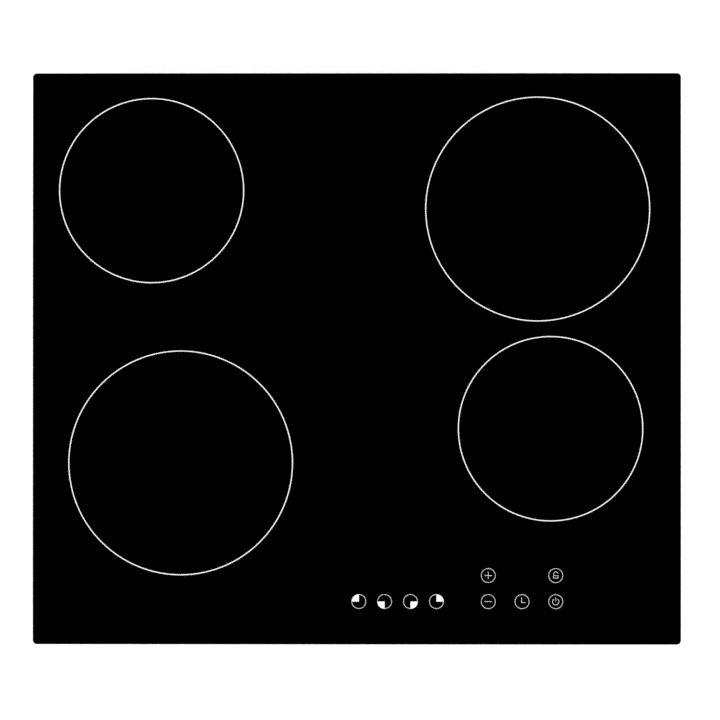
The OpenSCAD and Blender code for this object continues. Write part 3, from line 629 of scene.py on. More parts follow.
def flat_strip(b, inner, outer, closed=True):
    """A thin printed band between two outlines with the same number of points."""
    n = len(inner)
    rows = []
    for z in (Z_TOP, Z_TOP + PRINT_H):
        rows.append([Vector((x, y, z)) for x, y in outer])
        rows.append([Vector((x, y, z)) for x, y in inner])
    v = rows[0] + rows[1] + rows[2] + rows[3]
    o0, i0, o1, i1 = 0, n, 2 * n, 3 * n
    f = []
    for k in range(n if closed else n - 1):
        j = (k + 1) % n
        f += [[o0 + k, o0 + j, i0 + j, i0 + k][::-1], [o1 + k, o1 + j, i1 + j, i1 + k], [o0 + k, o0 + j, o1 + j, o1 + k], [i0 + k, i0 + j, i1 + j, i1 + k][::-1]]
    if not closed:
        for k in (0, n - 1):
            q = [o0 + k, i0 + k, i1 + k, o1 + k]
            f.append(q if k == 0 else q[::-1])
    b.add(v, f)


def rect(x0, y0, x1, y1):
    return [(x0, y0), (x1, y0), (x1, y1), (x0, y1)]


def make_rings():
    b = Build()
    for z in ZONES.values():
        flat_ring(b, z[0], z[1], z[2], RING_LINE, 480)
    o = b.obj("zone_ring_print", [M_PRINT], 40)
    return piece(o, "hob", "white_print", "zone_rings")


def make_symbols():
    b = Build()
    w = KEY_LINE
    for x, y in KEYS:
        flat_ring(b, x, y, KEY_R, w, 128)
    for i, q in ((0, 1), (1, 2), (2, 3), (3, 0)):
        x, y = KEYS[i]
        flat_poly(b, [(x, y)] + arc(x, y, KEY_R - w / 2 - 0.004, 90 * q, 90 * q + 90, 32))
    x, y = KEYS[4]
    h = 3.3
    flat_poly(b, [(x - h, y - w / 2), (x - w / 2, y - w / 2), (x - w / 2, y - h), (x + w / 2, y - h), (x + w / 2, y - w / 2), (x + h, y - w / 2),
                  (x + h, y + w / 2), (x + w / 2, y + w / 2), (x + w / 2, y + h), (x - w / 2, y + h), (x - w / 2, y + w / 2), (x - h, y + w / 2)])
    x, y = KEYS[5]
    flat_poly(b, rect(x - h, y - w / 2, x + h, y + w / 2))
    x, y = KEYS[6]
    flat_poly(b, [(x - 0.4 - w / 2, y - 0.85 - w / 2), (x + 3.1, y - 0.85 - w / 2), (x + 3.1, y - 0.85 + w / 2), (x - 0.4 + w / 2, y - 0.85 + w / 2), (x - 0.4 + w / 2, y + 3.6), (x - 0.4 - w / 2, y + 3.6)])
    # open padlock
    x, y = KEYS[7]
    flat_strip(b, rr_outline(4.6 - 2 * w, 2.6 - 2 * w, 0.2, 6, x + 0.1, y - 1.2), rr_outline(4.6, 2.6, 0.5, 6, x + 0.1, y - 1.2))
    cx, cy, R = x + 0.1, y + 1.6, 1.85
    a = [(cx - R, y + 0.25)] + [(cx - R, y + 0.9)] + arc(cx, cy, R, 180, 0, 28)
    inner, outer = [], []
    for k, p in enumerate(a):
        if k < 2:
            d = (-1, 0)
        else:
            d = ((p[0] - cx) / R, (p[1] - cy) / R)
        inner.append((p[0] - d[0] * w / 2, p[1] - d[1] * w / 2))
        outer.append((p[0] + d[0] * w / 2, p[1] + d[1] * w / 2))
    flat_strip(b, inner, outer, closed=False)
    # power
    x, y = KEYS[8]
    inner = arc(x, y, 2.95 - w / 2, 128, 412, 48)
    outer = arc(x, y, 2.95 + w / 2, 128, 412, 48)
    flat_strip(b, inner, outer, closed=False)
    flat_poly(b, rect(x - w / 2, y + 0.35, x + w / 2, y + 3.95))
    o = b.obj("control_symbol_print", [M_PRINT], 40)
    return piece(o, "hob", "white_print", "control_symbols")


M_GLASS = glass_mat()
M_GLASS_EDGE = glass_edge_mat()
M_GLASS_BACK = glass_under_mat()
M_PRINT = print_mat()
M_FOAM = foam_mat()
M_FLOOR = floor_mat()
make_glass()
make_rings()
make_symbols()

# floor
floor = mesh_obj("floor", [(-6, -6, -0.0002), (6, -6, -0.0002), (6, 6, -0.0002), (-6, 6, -0.0002)], [[0, 1, 2, 3]], [M_FLOOR], smooth=None, flat=False)
for p in floor.data.polygons:
    if p.normal.z < 0:
        p.flip()


# ------------------------------------------------------------------ outlines and flat work
from mathutils.geometry import delaunay_2d_cdt


def circ(cx, cy, r, n=32, a0=0.0):
    """An outline as a function of how far it is grown."""
    return lambda g=0.0: [(cx + (r + g) * math.cos(a0 + TAU * k / n), cy + (r + g) * math.sin(a0 + TAU * k / n)) for k in range(n)]


def slot_o(cx, cy, l, w, rot=0.0, n=6):
    c, s = math.cos(math.radians(rot)), math.sin(math.radians(rot))

    def f(g=0.0):
        h = max((l - w) / 2, 0.001)
        pts = arc(h, 0, w / 2 + g, -90, 90, n) + arc(-h, 0, w / 2 + g, 90, 270, n)
        return [(cx + c * x - s * y, cy + s * x + c * y) for x, y in pts]
    return f


def rrect_o(w, d, r, cx=0.0, cy=0.0, n=5):
    return lambda g=0.0: rr_outline(w + 2 * g, d + 2 * g, max(r + g, 0.03), n, cx, cy)


def poly_o(pts):
    """An outline from points that run anticlockwise; it grows along its corners."""
    def f(g=0.0):
        if not g:
            return list(pts)
        out = []
        n = len(pts)
        for k in range(n):
            p, q, r = (Vector(pts[(k + i) % n]) for i in (-1, 0, 1))
            a, b = (q - p).normalized(), (r - q).normalized()
            na, nb = Vector((a.y, -a.x)), Vector((b.y, -b.x))
            m = (na + nb).normalized()
            out.append(tuple(q + m * (g / max(0.4, m.dot(na)))))
        return out
    return f


def inside(x, y, L):
    hit = False
    for k in range(len(L)):
        (x0, y0), (x1, y1) = L[k - 1], L[k]
        if (y0 > y) != (y1 > y) and x < (x1 - x0) * (y - y0) / (y1 - y0) + x0:
            hit = not hit
    return hit


def fill(b, loops, z, mat=0, M=None):
    """Triangulates the area inside the first loop and outside the others, at height z."""
    verts, edges = [], []
    for L in loops:
        k, n = len(verts), len(L)
        verts += [Vector(p) for p in L]
        edges += [(k + i, k + (i + 1) % n) for i in range(n)]
    v, _, f, _, _, _ = delaunay_2d_cdt(verts, edges, [], 1, 1e-7)
    boxes = [(min(p[0] for p in L), max(p[0] for p in L), min(p[1] for p in L), max(p[1] for p in L), L) for L in loops[1:]]
    keep = []
    for t in f:
        x, y = sum(v[i].x for i in t) / len(t), sum(v[i].y for i in t) / len(t)
        if not any(x0 < x < x1 and y0 < y < y1 and inside(x, y, L) for x0, x1, y0, y1, L in boxes):
            keep.append(list(t))
    b.add([(p.x, p.y, z) for p in v], keep, mat, M)


def wall(b, rows, mat=0, M=None, cap=None):
    """Joins loops given as (outline points, z); cap closes the last one."""
    v, f = loft([[(x, y, z) for x, y in pts] for pts, z in rows], False, cap is not None)
    b.add(v, f, mat, M)


def plate(b, outer, holes, z0, z1, c=0.15, mat=0, M=None):
    """A flat part with holes, its edges slightly broken."""
    for z in (z0, z1):
        fill(b, [outer(-c)] + [h(c) for h in holes], z, mat, M)
    for fn, s in [(outer, -c)] + [(h, c) for h in holes]:
        wall(b, [(fn(s), z0), (fn(0), z0 + c), (fn(0), z1 - c), (fn(s), z1)], mat, M)
    return b


def prism(b, outer, z0, z1, c=0.3, mat=0, M=None, seg=1):
    """A solid without holes, with a rounded edge of seg steps at both ends."""
    rows = []
    for i in range(seg + 1):
        a = math.radians(90 * i / seg)
        rows.append((outer(-c + c * math.sin(a)), z0 + c - c * math.cos(a)))
    for i in range(seg + 1):
        a = math.radians(90 * i / seg)
        rows.append((outer(-c + c * math.cos(a)), z1 - c + c * math.sin(a)))
    v, f = loft([[(x, y, z) for x, y in pts] for pts, z in rows])
    b.add(v, f, mat, M)
    return b


def T(x, y, z, rz=0.0):
    return Matrix.Translation((x, y, z)) @ Matrix.Rotation(math.radians(rz), 4, "Z")


ALONG_X = Matrix(((0, 0, 1, 0), (1, 0, 0, 0), (0, 1, 0, 0), (0, 0, 0, 1)))      # (u, v, w) to (w, u, v)
ALONG_Y = Matrix(((1, 0, 0, 0), (0, 0, 1, 0), (0, 1, 0, 0), (0, 0, 0, 1)))      # (u, v, w) to (u, w, v)
MIRROR_X = Matrix(((-1, 0, 0, 0), (0, 1, 0, 0), (0, 0, 1, 0), (0, 0, 0, 1)))


def box_to(b, x0, y0, z0, x1, y1, z1, r=0.4, seg=2, mat=0, M=None):
    v, f = bevel_box(x0, y0, z0, x1, y1, z1, r, seg)
    b.add(v, f, mat, M)


def lathe_to(b, profile, n=32, mat=0, M=None, closed=False):
    v, f = lathe(profile, n, closed)
    b.add(v, f, mat, M)


def tube_to(b, P, r, n=10, mat=0, M=None, n0=None, section=None):
    v, f, at = sweep([Vector(p) for p in P], section or circle_section(r, n), n0)
    b.add(v, f, mat, M, at)


def carve(o, cutters):
    """Cuts the cutters, a Build in millimetres, out of an object's mesh for good."""
    c = mesh_obj("cutter", [v * MM for v in cutters.v], cutters.f, [], None, None, None, False, False)
    m = o.modifiers.new("cut", "BOOLEAN")
    m.operation = "DIFFERENCE"
    m.solver = "EXACT"
    m.object = c
    others = [x for x in o.modifiers if x != m]
    for x in others:
        x.show_viewport = False
    bpy.context.view_layer.update()
    dg = bpy.context.evaluated_depsgraph_get()
    me = bpy.data.meshes.new_from_object(o.evaluated_get(dg))
    o.modifiers.remove(m)
    for x in others:
        x.show_viewport = True
    old = o.data
    o.data = me
    bpy.data.meshes.remove(old)
    bpy.data.objects.remove(c)
    return o


def mesh_of(o, remove=True):
    """A mesh's points in millimetres and its faces, to repeat it."""
    v = [p.co / MM for p in o.data.vertices]
    f = [list(p.vertices) for p in o.data.polygons]
    if remove:
        bpy.data.objects.remove(o)
    return v, f


def recess(z_top, r, depth, w):
    """Cutter for a cross recess, tapered towards its bottom."""
    c = Build()

    def cross(a, h):
        q = [(a, -h), (a, h), (h, h), (h, a), (-h, a), (-h, h), (-a, h), (-a, -h), (-h, -h), (-h, -a), (h, -a), (h, -h)]
        return q
    v, f = loft([[(x, y, z) for x, y in cross(a, h)] for a, h, z in ((r * 0.42, w * 0.2, z_top - depth), (r * 0.86, w * 0.42, z_top - depth * 0.45), (r * 1.05, w * 0.5, z_top + 0.6))])
    c.add(v, f)
    return c


def screw_mesh(r, length, head_r, head_h, pitch=0.8, seg=24):
    """Pan-head machine screw with a rolled thread and a cross recess, head's underside at z = 0."""
    b = Build()
    crown = [(head_r * 0.97, 0.0), (head_r, 0.16), (head_r, head_h * 0.42)]
    crown += [(head_r * math.cos(math.radians(a)) * 0.62 + head_r * 0.38, head_h * 0.42 + head_h * 0.58 * math.sin(math.radians(a))) for a in (20, 40, 60, 78)]
    crown += [(0.0, head_h)]
    rows = []
    root = r - 0.24
    zs = [0.0]
    n = max(6, int((length - 0.6) / (pitch / 5)))
    zs += [-0.25 - (length - 0.7) * k / n for k in range(n + 1)]
    verts, faces = [], []
    for i, z in enumerate(zs):
        row = []
        for k in range(seg):
            a = TAU * k / seg
            if i == 0:
                rad = r
            else:
                ph = (z / pitch + k / seg) % 1.0
                t = 1 - abs(2 * ph - 1)
                rad = root + (r - root) * min(1.0, max(0.0, t * 1.5 - 0.25))
            row.append((rad * math.cos(a), rad * math.sin(a), z))
        rows.append(row)
    rows.append([(root * 0.82 * math.cos(TAU * k / seg), root * 0.82 * math.sin(TAU * k / seg), -length) for k in range(seg)])
    under = [(crown[0][0] * math.cos(TAU * k / seg), crown[0][0] * math.sin(TAU * k / seg), 0.0) for k in range(seg)]
    head = [[(p * math.cos(TAU * k / seg), p * math.sin(TAU * k / seg), z) for k in range(seg)] for p, z in crown[:-1]]
    v, f = loft(rows[::-1] + head, True, True)
    b.add(v, f)
    o = b.obj("screw_blank", [], None, False, False)
    carve(o, recess(head_h, head_r * 0.56, head_h * 0.72, head_r * 0.30))
    return mesh_of(o)


# ------------------------------------------------------------------ more materials
def rubber(name, base=(0.018, 0.018, 0.02)):
    m = Mat(name, base, 0.7, 0.0, 0.3)
    g = m.noise(1400, 3, 0.6)
    big = m.noise(70, 3)
    m.color(m.mix(big, shade(base, 0.75), shade(base, 1.6)))
    m.rough(m.remap(g, 0.3, 0.7, 0.6, 0.82))
    m.bump(g, 0.02e-3)
    return m.done()


def aluminium(name, base=(0.60, 0.61, 0.63), axis=0, rough=0.34):
    """Mill-finish aluminium: drawing lines along one axis, light oxide clouds."""
    m = Mat(name, base, rough, 0.95)
    m.bevel(0.15e-3)
    sc = [1, 1, 1]
    sc[axis] = 0.04
    line = m.noise(900, 4, 0.6, vec=m.coord(tuple(sc)))
    cloud = m.noise(26, 4, 0.6)
    m.color(m.mix(m.remap(m.math("ADD", m.math("MULTIPLY", line, 0.5), m.math("MULTIPLY", cloud, 0.5)), 0.3, 0.7, 0, 1), shade(base, 0.84), shade(base, 1.10)))
    m.rough(m.remap(line, 0.3, 0.7, rough - 0.08, rough + 0.12))
    m.bump(line, 0.006e-3)
    return m.done()


def zinc_mat(name, base=(0.62, 0.64, 0.66)):
    """Bright zinc plating: faint blue and straw stains, soft gloss."""
    m = Mat(name, base, 0.28, 0.95)
    m.bevel(0.12e-3)
    st = m.noise(95, 4, 0.6, dist=0.6)
    fine = m.noise(1600, 2)
    m.color(m.ramp(st, [(0.30, shade(base, 0.86)), (0.5, base), (0.62, (base[0] * 1.05, base[1] * 1.0, base[2] * 0.88)), (0.75, (base[0] * 0.92, base[1] * 0.98, base[2] * 1.06))]))
    m.rough(m.remap(m.math("ADD", m.math("MULTIPLY", st, 0.6), m.math("MULTIPLY", fine, 0.4)), 0.3, 0.7, 0.2, 0.4))
    m.bump(fine, 0.004e-3)
    return m.done()


M_STEEL = sheet_metal("galvanised_steel_sheet", (0.36, 0.372, 0.388))
M_SCREW = zinc_mat("zinc_plated_screw", (0.52, 0.53, 0.55))
M_BRACKET = zinc_mat("zinc_plated_bracket", (0.46, 0.475, 0.49))
M_ALU = aluminium("mill_aluminium")
M_BLACK = plastic("black_moulded_plastic", (0.022, 0.022, 0.024), 0.42, 1100, 0.02e-3, 0.18)
M_GLAND = plastic("gland_polyamide", (0.020, 0.020, 0.021), 0.36, 1500, 0.012e-3, 0.15)
M_RUBBER = rubber("gland_seal_rubber")


# ------------------------------------------------------------------ foam seal, rails
def make_seal():
    b = Build()
    x1, y1, w = GW / 2 - 2, GD / 2 - 2, 9
    for s in (-1, 1):
        ya, yb = (y1 - w, y1) if s > 0 else (-y1, -y1 + w)
        box_to(b, -x1, ya, 54.0, x1, yb, 56.0, 0.55, 3)
        xa, xb = (x1 - w, x1) if s > 0 else (-x1, -x1 + w)
        box_to(b, xa, -y1 + w + 0.15, 54.0, xb, y1 - w - 0.15, 56.0, 0.55, 3)
    return piece(b.obj("worktop_foam_seal", [M_FOAM], 40), "hob", "seal_foam", "worktop_seal")


WI, DI = 275.2, 240.2
FIX = [((x, -241.0, 47.5), 0) for x in (-200, -70, 70, 200)] + [((x, 241.0, 47.5), 180) for x in (-200, -70, 70, 200)]
FIX += [((276.0, y, 47.5), 90) for y in (-120, 120)] + [((-276.0, y, 47.5), -90) for y in (-120, 120)]


def make_rails():
    b = Build()
    prof = [(0, 42), (0, 55.9), (-0.1, 56), (-7.9, 56), (-8, 55.9), (-8, 54.6), (-7.9, 54.5)]
    prof += [(-1.5 - 1.0 + 1.0 * math.sin(math.radians(a)), 54.5 - 1.0 + 1.0 * math.cos(math.radians(a))) for a in (0, 30, 60, 90)]
    prof += [(-1.5, 42.1), (-1.4, 42)]
    for a, half, off in ((0, WI - 13, DI), (180, WI - 13, DI), (90, DI - 13, WI), (270, DI - 13, WI)):
        M = Matrix.Rotation(math.radians(a), 4, "Z") @ Matrix.Translation((0, off, 0)) @ ALONG_X
        plate(b, poly_o(prof[::-1] if _area(prof) < 0 else prof), [], -half, half, 0.08, 0, M)
    o = b.obj("glass_frame_angles", [M_ALU], 35, True)
    c = Build()
    for p, a in FIX:
        M = Matrix.Translation(p) @ Matrix.Rotation(math.radians(a), 4, "Z") @ Matrix.Rotation(math.radians(90), 4, "X")
        lathe_to(c, [(2.05, -6), (2.05, 6)], 20, M=M)
    carve(o, c)
    o.data.set_sharp_from_angle(angle=math.radians(35))
    return piece(o, "hob", "aluminium", "frame_rails")


def _area(pts):
    return 0.5 * sum(pts[k][0] * pts[(k + 1) % len(pts)][1] - pts[(k + 1) % len(pts)][0] * pts[k][1] for k in range(len(pts)))


# ------------------------------------------------------------------ base tray
FEET = [(-235, 205), (235, 205), (-235, -205), (235, -205), (-235, 0), (235, 0)]
BEADS = (-215, -85, 85, 215)
CLAMPS = {"rear_left": (-260, 172), "rear_right": (260, 172), "front_left": (-260, -172), "front_right": (260, -172)}
FAN_SCREWS = [(s * (150 - 55 * math.cos(math.radians(a))), 150 + 55 * math.sin(math.radians(a))) for s in (-1, 1) for a in (45, 135, -45)]
BOX_SCREWS = [(-48, 180), (48, 180), (-48, 224), (48, 224)]
STANDOFFS = [(-262, 218), (262, 218), (-262, -218), (262, -218), (-262, 30), (262, 30), (0, 130), (0, -20), (0, -150)]
BOARD_SCREWS = [(-240, 70), (-60, 70), (-240, -140), (-60, -140)]


def make_tray():
    b = Build()
    W, D, TS, ZF, ZI, ZW = 552.0, 482.0, 0.8, 6.0, 6.8, 53.5
    N, R, RB = 10, 6.0, 2.2
    out = rrect_o(W, D, R, n=N)
    e = 0.12
    rows_o = [(-e, ZW), (0.0, ZW - e), (0.0, ZF + RB)] + [(-RB + RB * math.cos(math.radians(a)), ZF + RB - RB * math.sin(math.radians(a))) for a in (18, 36, 54, 72, 90)]
    ri = RB - TS
    rows_i = [(-TS + e, ZW), (-TS, ZW - e), (-TS, ZI + ri)] + [(-TS - ri + ri * math.cos(math.radians(a)), ZI + ri - ri * math.sin(math.radians(a))) for a in (18, 36, 54, 72, 90)]

    def skin(rows):
        loops = [[(x, y, z) for x, y in out(g)] for g, z in rows]
        n = len(loops[0])
        v = [p for l in loops for p in l]
        f = []
        for i in range(len(loops) - 1):
            for k in range(n):
                if i == 1 and k % (N + 1) == N:
                    continue                      # the flat walls are filled in below, with their holes
                f.append([i * n + k, i * n + (k + 1) % n, (i + 1) * n + (k + 1) % n, (i + 1) * n + k])
        b.add(v, f)
    skin(rows_o)
    skin(rows_i)
    wall(b, [(out(-e), ZW), (out(-TS + e), ZW)])

    # wall panels: rear, front, left, right
    hw, hd = W / 2 - R, D / 2 - R
    def loops_at(z0, h):
        return [(-h, z0), (h, z0), (h, ZW - e), (-h, ZW - e)]
    rear = [circ(0, 20, 10.8, 48)] + [circ(x, 47.5, 2.2, 20) for x in (-200, -70, 70, 200)]
    front = [circ(x, 47.5, 2.2, 20) for x in (-200, -70, 70, 200)] + [slot_o(s * (60 + k * 14), 24, 18, 3.6, 90, 6) for s in (-1, 1) for k in range(10)]
    side = [circ(y, 47.5, 2.2, 20) for y in (-120, 120)]
    for holes, h, place in ((rear, hw, lambda u, z, g: (u, D / 2 + g, z)), (front, hw, lambda u, z, g: (u, -D / 2 - g, z)),
                            (side, hd, lambda u, z, g: (W / 2 + g, u, z)), (side, hd, lambda u, z, g: (-W / 2 - g, u, z))):
        for g, z0 in ((0.0, ZF + RB), (-TS, ZI + ri)):
            t = Build()
            fill(t, [loops_at(z0, h)] + [q(0) for q in holes], 0.0)
            b.add([place(p[0], p[1], g) for p in t.v], t.f)
        for q in holes:
            v, f = loft([[place(u, z, 0.0) for u, z in q(0)], [place(u, z, -TS) for u, z in q(0)]], False, False)
            b.add(v, f)

    # floor: holes right through
    through = []
    for s in (-1, 1):
        through += [slot_o(s * 150, 150 + k * 6.4, 2 * math.sqrt(900 - (k * 6.4) ** 2), 3.4, 0, 6) for k in range(-4, 5)]
        through += [slot_o(s * (58 + k * 12.5), -196, 44, 4, 90, 6) for k in range(12)]
    through += [circ(x, y, 2.0, 20) for x, y in FAN_SCREWS + BOX_SCREWS]
    through += [rrect_o(76, 66, 0.8, 0, 201, 3)]
    feet = [circ(x, y, 13.0, 48) for x, y in FEET]
    beads = [slot_o(x, -35, 220, 13.4, 90, 12) for x in BEADS]
    nuts_in = [circ(x, y, 4.4, 32) for x, y in CLAMPS.values()]
    nuts_out = [circ(x, y, 2.5, 32) for x, y in CLAMPS.values()]
    base = out(-RB)
    fill(b, [base] + [q(0) for q in through + feet + beads + nuts_out], ZF)
    fill(b, [base] + [q(0) for q in through + feet + beads + nuts_in], ZI)
    for q in through:
        wall(b, [(q(0), ZF), (q(0), ZI)])
    for q in feet:
        wall(b, [(q(g), z) for g, z in ((0, 6.0), (-0.28, 5.86), (-0.55, 5.4), (-3.05, 0.62), (-3.3, 0.2), (-3.75, 0.0))], cap=True)
        wall(b, [(q(g), z) for g, z in ((0, 6.8), (-0.75, 6.72), (-1.2, 6.25), (-3.65, 1.35), (-3.95, 0.95), (-4.3, 0.8))], cap=True)
    for q in beads:
        wall(b, [(q(g), z) for g, z in ((0, 6.0), (-0.25, 5.93), (-0.6, 5.5), (-1.1, 4.7), (-1.45, 4.45), (-1.9, 4.4))], cap=True)
        wall(b, [(q(g), z) for g, z in ((0, 6.8), (-0.6, 6.7), (-1.0, 6.25), (-1.5, 5.5), (-1.9, 5.25), (-2.4, 5.2))], cap=True)
    for x, y in CLAMPS.values():
        n = 32
        p = lambda r: circ(x, y, r, n)(0)
        wall(b, [(p(4.4), 6.8), (p(4.4), 10.2), (p(4.1), 10.5), (p(2.8), 10.5), (p(2.5), 10.2), (p(2.5), 6.0)])
    o = b.obj("base_tray_shell", [M_STEEL], 32, True)

    # hinge eyes, lanced and turned down from the floor
    h = Build()
    for s in (-1, 1):
        prof = arc(163, 3.6, 2.5, 180, 360, 12) + [(165.5, 6.25), (160.5, 6.25)]
        hole = circ(163, 3.6, 1.08, 24)
        xa, xb = (40.0, 43.0) if s > 0 else (-43.0, -40.0)
        plate(h, poly_o(prof), [hole], xa, xb, 0.12, 0, ALONG_X)
    e2 = h.obj("cover_hinge_eyes", [M_STEEL], 35, True)
    piece(o, "hob", "galvanised_steel", "base_tray")
    return piece(e2, "hob", "galvanised_steel", "base_tray")


# ------------------------------------------------------------------ screws
def make_screws():
    b = Build()
    sv, sf = screw_mesh(2.0, 6.6, 3.9, 2.0)
    lv, lf = screw_mesh(2.0, 7.6, 3.9, 2.0)
    bv, bf = screw_mesh(2.0, 4.3, 3.9, 2.0)
    fv, ff = screw_mesh(2.0, 5.4, 3.9, 2.0)
    xv, xf = screw_mesh(2.0, 3.1, 3.9, 2.0)
    k = 0
    for p, a in FIX:
        M = Matrix.Translation(p) @ Matrix.Rotation(math.radians(a), 4, "Z") @ Matrix.Rotation(math.radians(90), 4, "X")
        b.add(sv, sf, M=M @ Matrix.Rotation(math.radians(17 + 53 * k), 4, "Z"))
        k += 1
    for pts, z, (v, f), sides in ((STANDOFFS, 37.5, (lv, lf), (1,)), (BOARD_SCREWS, 13.6, (bv, bf), (1, -1)), (FAN_SCREWS, 10.8, (fv, ff), (1,)), (BOX_SCREWS, 8.4, (xv, xf), (1,))):
        for s in sides:
            for x, y in pts:
                b.add(v, f, M=T(s * x, y, z, 11 + 47 * k))
                k += 1
    piece(b.obj("assembly_screw_set", [M_SCREW], 30), "hob", "plated_screws", "assembly_screws")
    c = Build()
    cv, cf = screw_mesh(2.46, 10.8, 4.8, 2.6, 0.9, 28)
    for i, (x, y) in enumerate(CLAMPS.values()):
        c.add(cv, cf, M=Matrix.Translation((x, y, 3.6)) @ Matrix.Rotation(math.pi, 4, "X") @ Matrix.Rotation(0.5 + i, 4, "Z"))
    return piece(c.obj("clamp_screw_set", [M_SCREW], 30), "hob", "plated_screws", "clamp_screws")


# ------------------------------------------------------------------ worktop clamps
def make_clamps():
    for name, (x, y) in CLAMPS.items():
        b = Build()
        M = T(x, y, 0, -90 if y > 0 else 90)
        out = arc(0, 0, 8, 90, 270, 16) + arc(29, -3, 5, -90, 0, 8) + arc(29, 3, 5, 0, 90, 8)
        plate(b, poly_o(out), [circ(0, 0, 2.56, 32)], 3.7, 5.7, 0.18, 0, M)
        for s in (-1, 1):
            lip = [(7.4, 2.6), (8.0, 2.0), (27.4, 2.0), (28.0, 2.6), (28.0, 4.2), (7.0, 4.2)] if s > 0 else [(7.4, 2.6), (8.0, 2.0), (27.4, 2.0), (28.0, 2.6), (28.0, 4.2), (7.0, 4.2)]
            ya, yb = (6.6, 8.0) if s > 0 else (-8.0, -6.6)
            plate(b, poly_o(lip), [], ya, yb, 0.15, 0, M @ ALONG_Y)
        # pressed stiffening rib
        v, f = loft([[(px, py, z) for px, py in slot_o(17, 0, 16, 5, 0, 8)(g)] for g, z in ((0.5, 5.6), (0.2, 5.72), (-0.9, 5.72), (-1.4, 5.5), (-1.6, 5.4))], True, True)
        b.add(v, f, 0, M)
        piece(b.obj("clamp_bracket_" + name + "_plate", [M_BRACKET], 32, True), "clamp_" + name, "bracket_steel", "clamp_bracket_" + name)


# ------------------------------------------------------------------ terminal cover
def make_cover():
    b = Build()
    z0, z1 = 3.2, 5.4
    outer = rrect_o(84, 71, 2.5, 0, 202.5, 6)
    grooves = [slot_o(k * 9, 203, 44, 2.4, 90, 6) for k in range(-3, 4)]
    c = 0.35
    fill(b, [outer(-c)] + [g(0.1) for g in grooves], z0)
    fill(b, [outer(-c)], z1)
    wall(b, [(outer(-c), z0), (outer(-c * 0.3), z0 + c * 0.3), (outer(0), z0 + c), (outer(0), z1 - c), (outer(-c * 0.3), z1 - c * 0.3), (outer(-c), z1)])
    for g in grooves:
        wall(b, [(g(0.1), z0), (g(0.0), z0 + 0.1), (g(-0.3), z0 + 0.6)], cap=True)
    # front strip that carries the hinge barrel, its barrel in the tray's eyes, and the pin
    box_to(b, -39.5, 163.0, 3.2, 39.5, 169.5, 5.4, 0.3, 2)
    lathe_to(b, [(1.7, -39.5), (2.0, -39.2), (2.0, -24), (1.8, -23.8), (1.8, -23.4), (2.0, -23.2), (2.0, 23.2), (1.8, 23.4), (1.8, 23.8), (2.0, 24), (2.0, 39.2), (1.7, 39.5)], 32, 0, Matrix.Translation((0, 163, 3.6)) @ ALONG_X)
    lathe_to(b, [(0.75, -43.0), (1.0, -42.7), (1.0, 42.7), (0.75, 43.0)], 24, 1, Matrix.Translation((0, 163, 3.6)) @ ALONG_X)
    # locating rim and its ribs
    plate(b, rrect_o(74.8, 64.0, 1.6, 0, 201.2, 4), [rrect_o(71.6, 60.8, 0.6, 0, 201.2, 4)], 5.3, 8.2, 0.25)
    for y in (188, 214):
        box_to(b, -36, y - 0.6, 5.3, 36, y + 0.6, 6.6, 0.2, 1)
    for x in (-18, 18):
        box_to(b, x - 0.6, 171, 5.3, x + 0.6, 231.4, 6.6, 0.2, 1)
    # snap tongue at the rear
    box_to(b, -6, 232.6, 5.2, 6, 233.2, 8.1, 0.2, 1)
    return piece(b.obj("terminal_cover_moulding", [M_BLACK, M_SCREW], 32, True), "cover", "black_plastic", "terminal_cover")


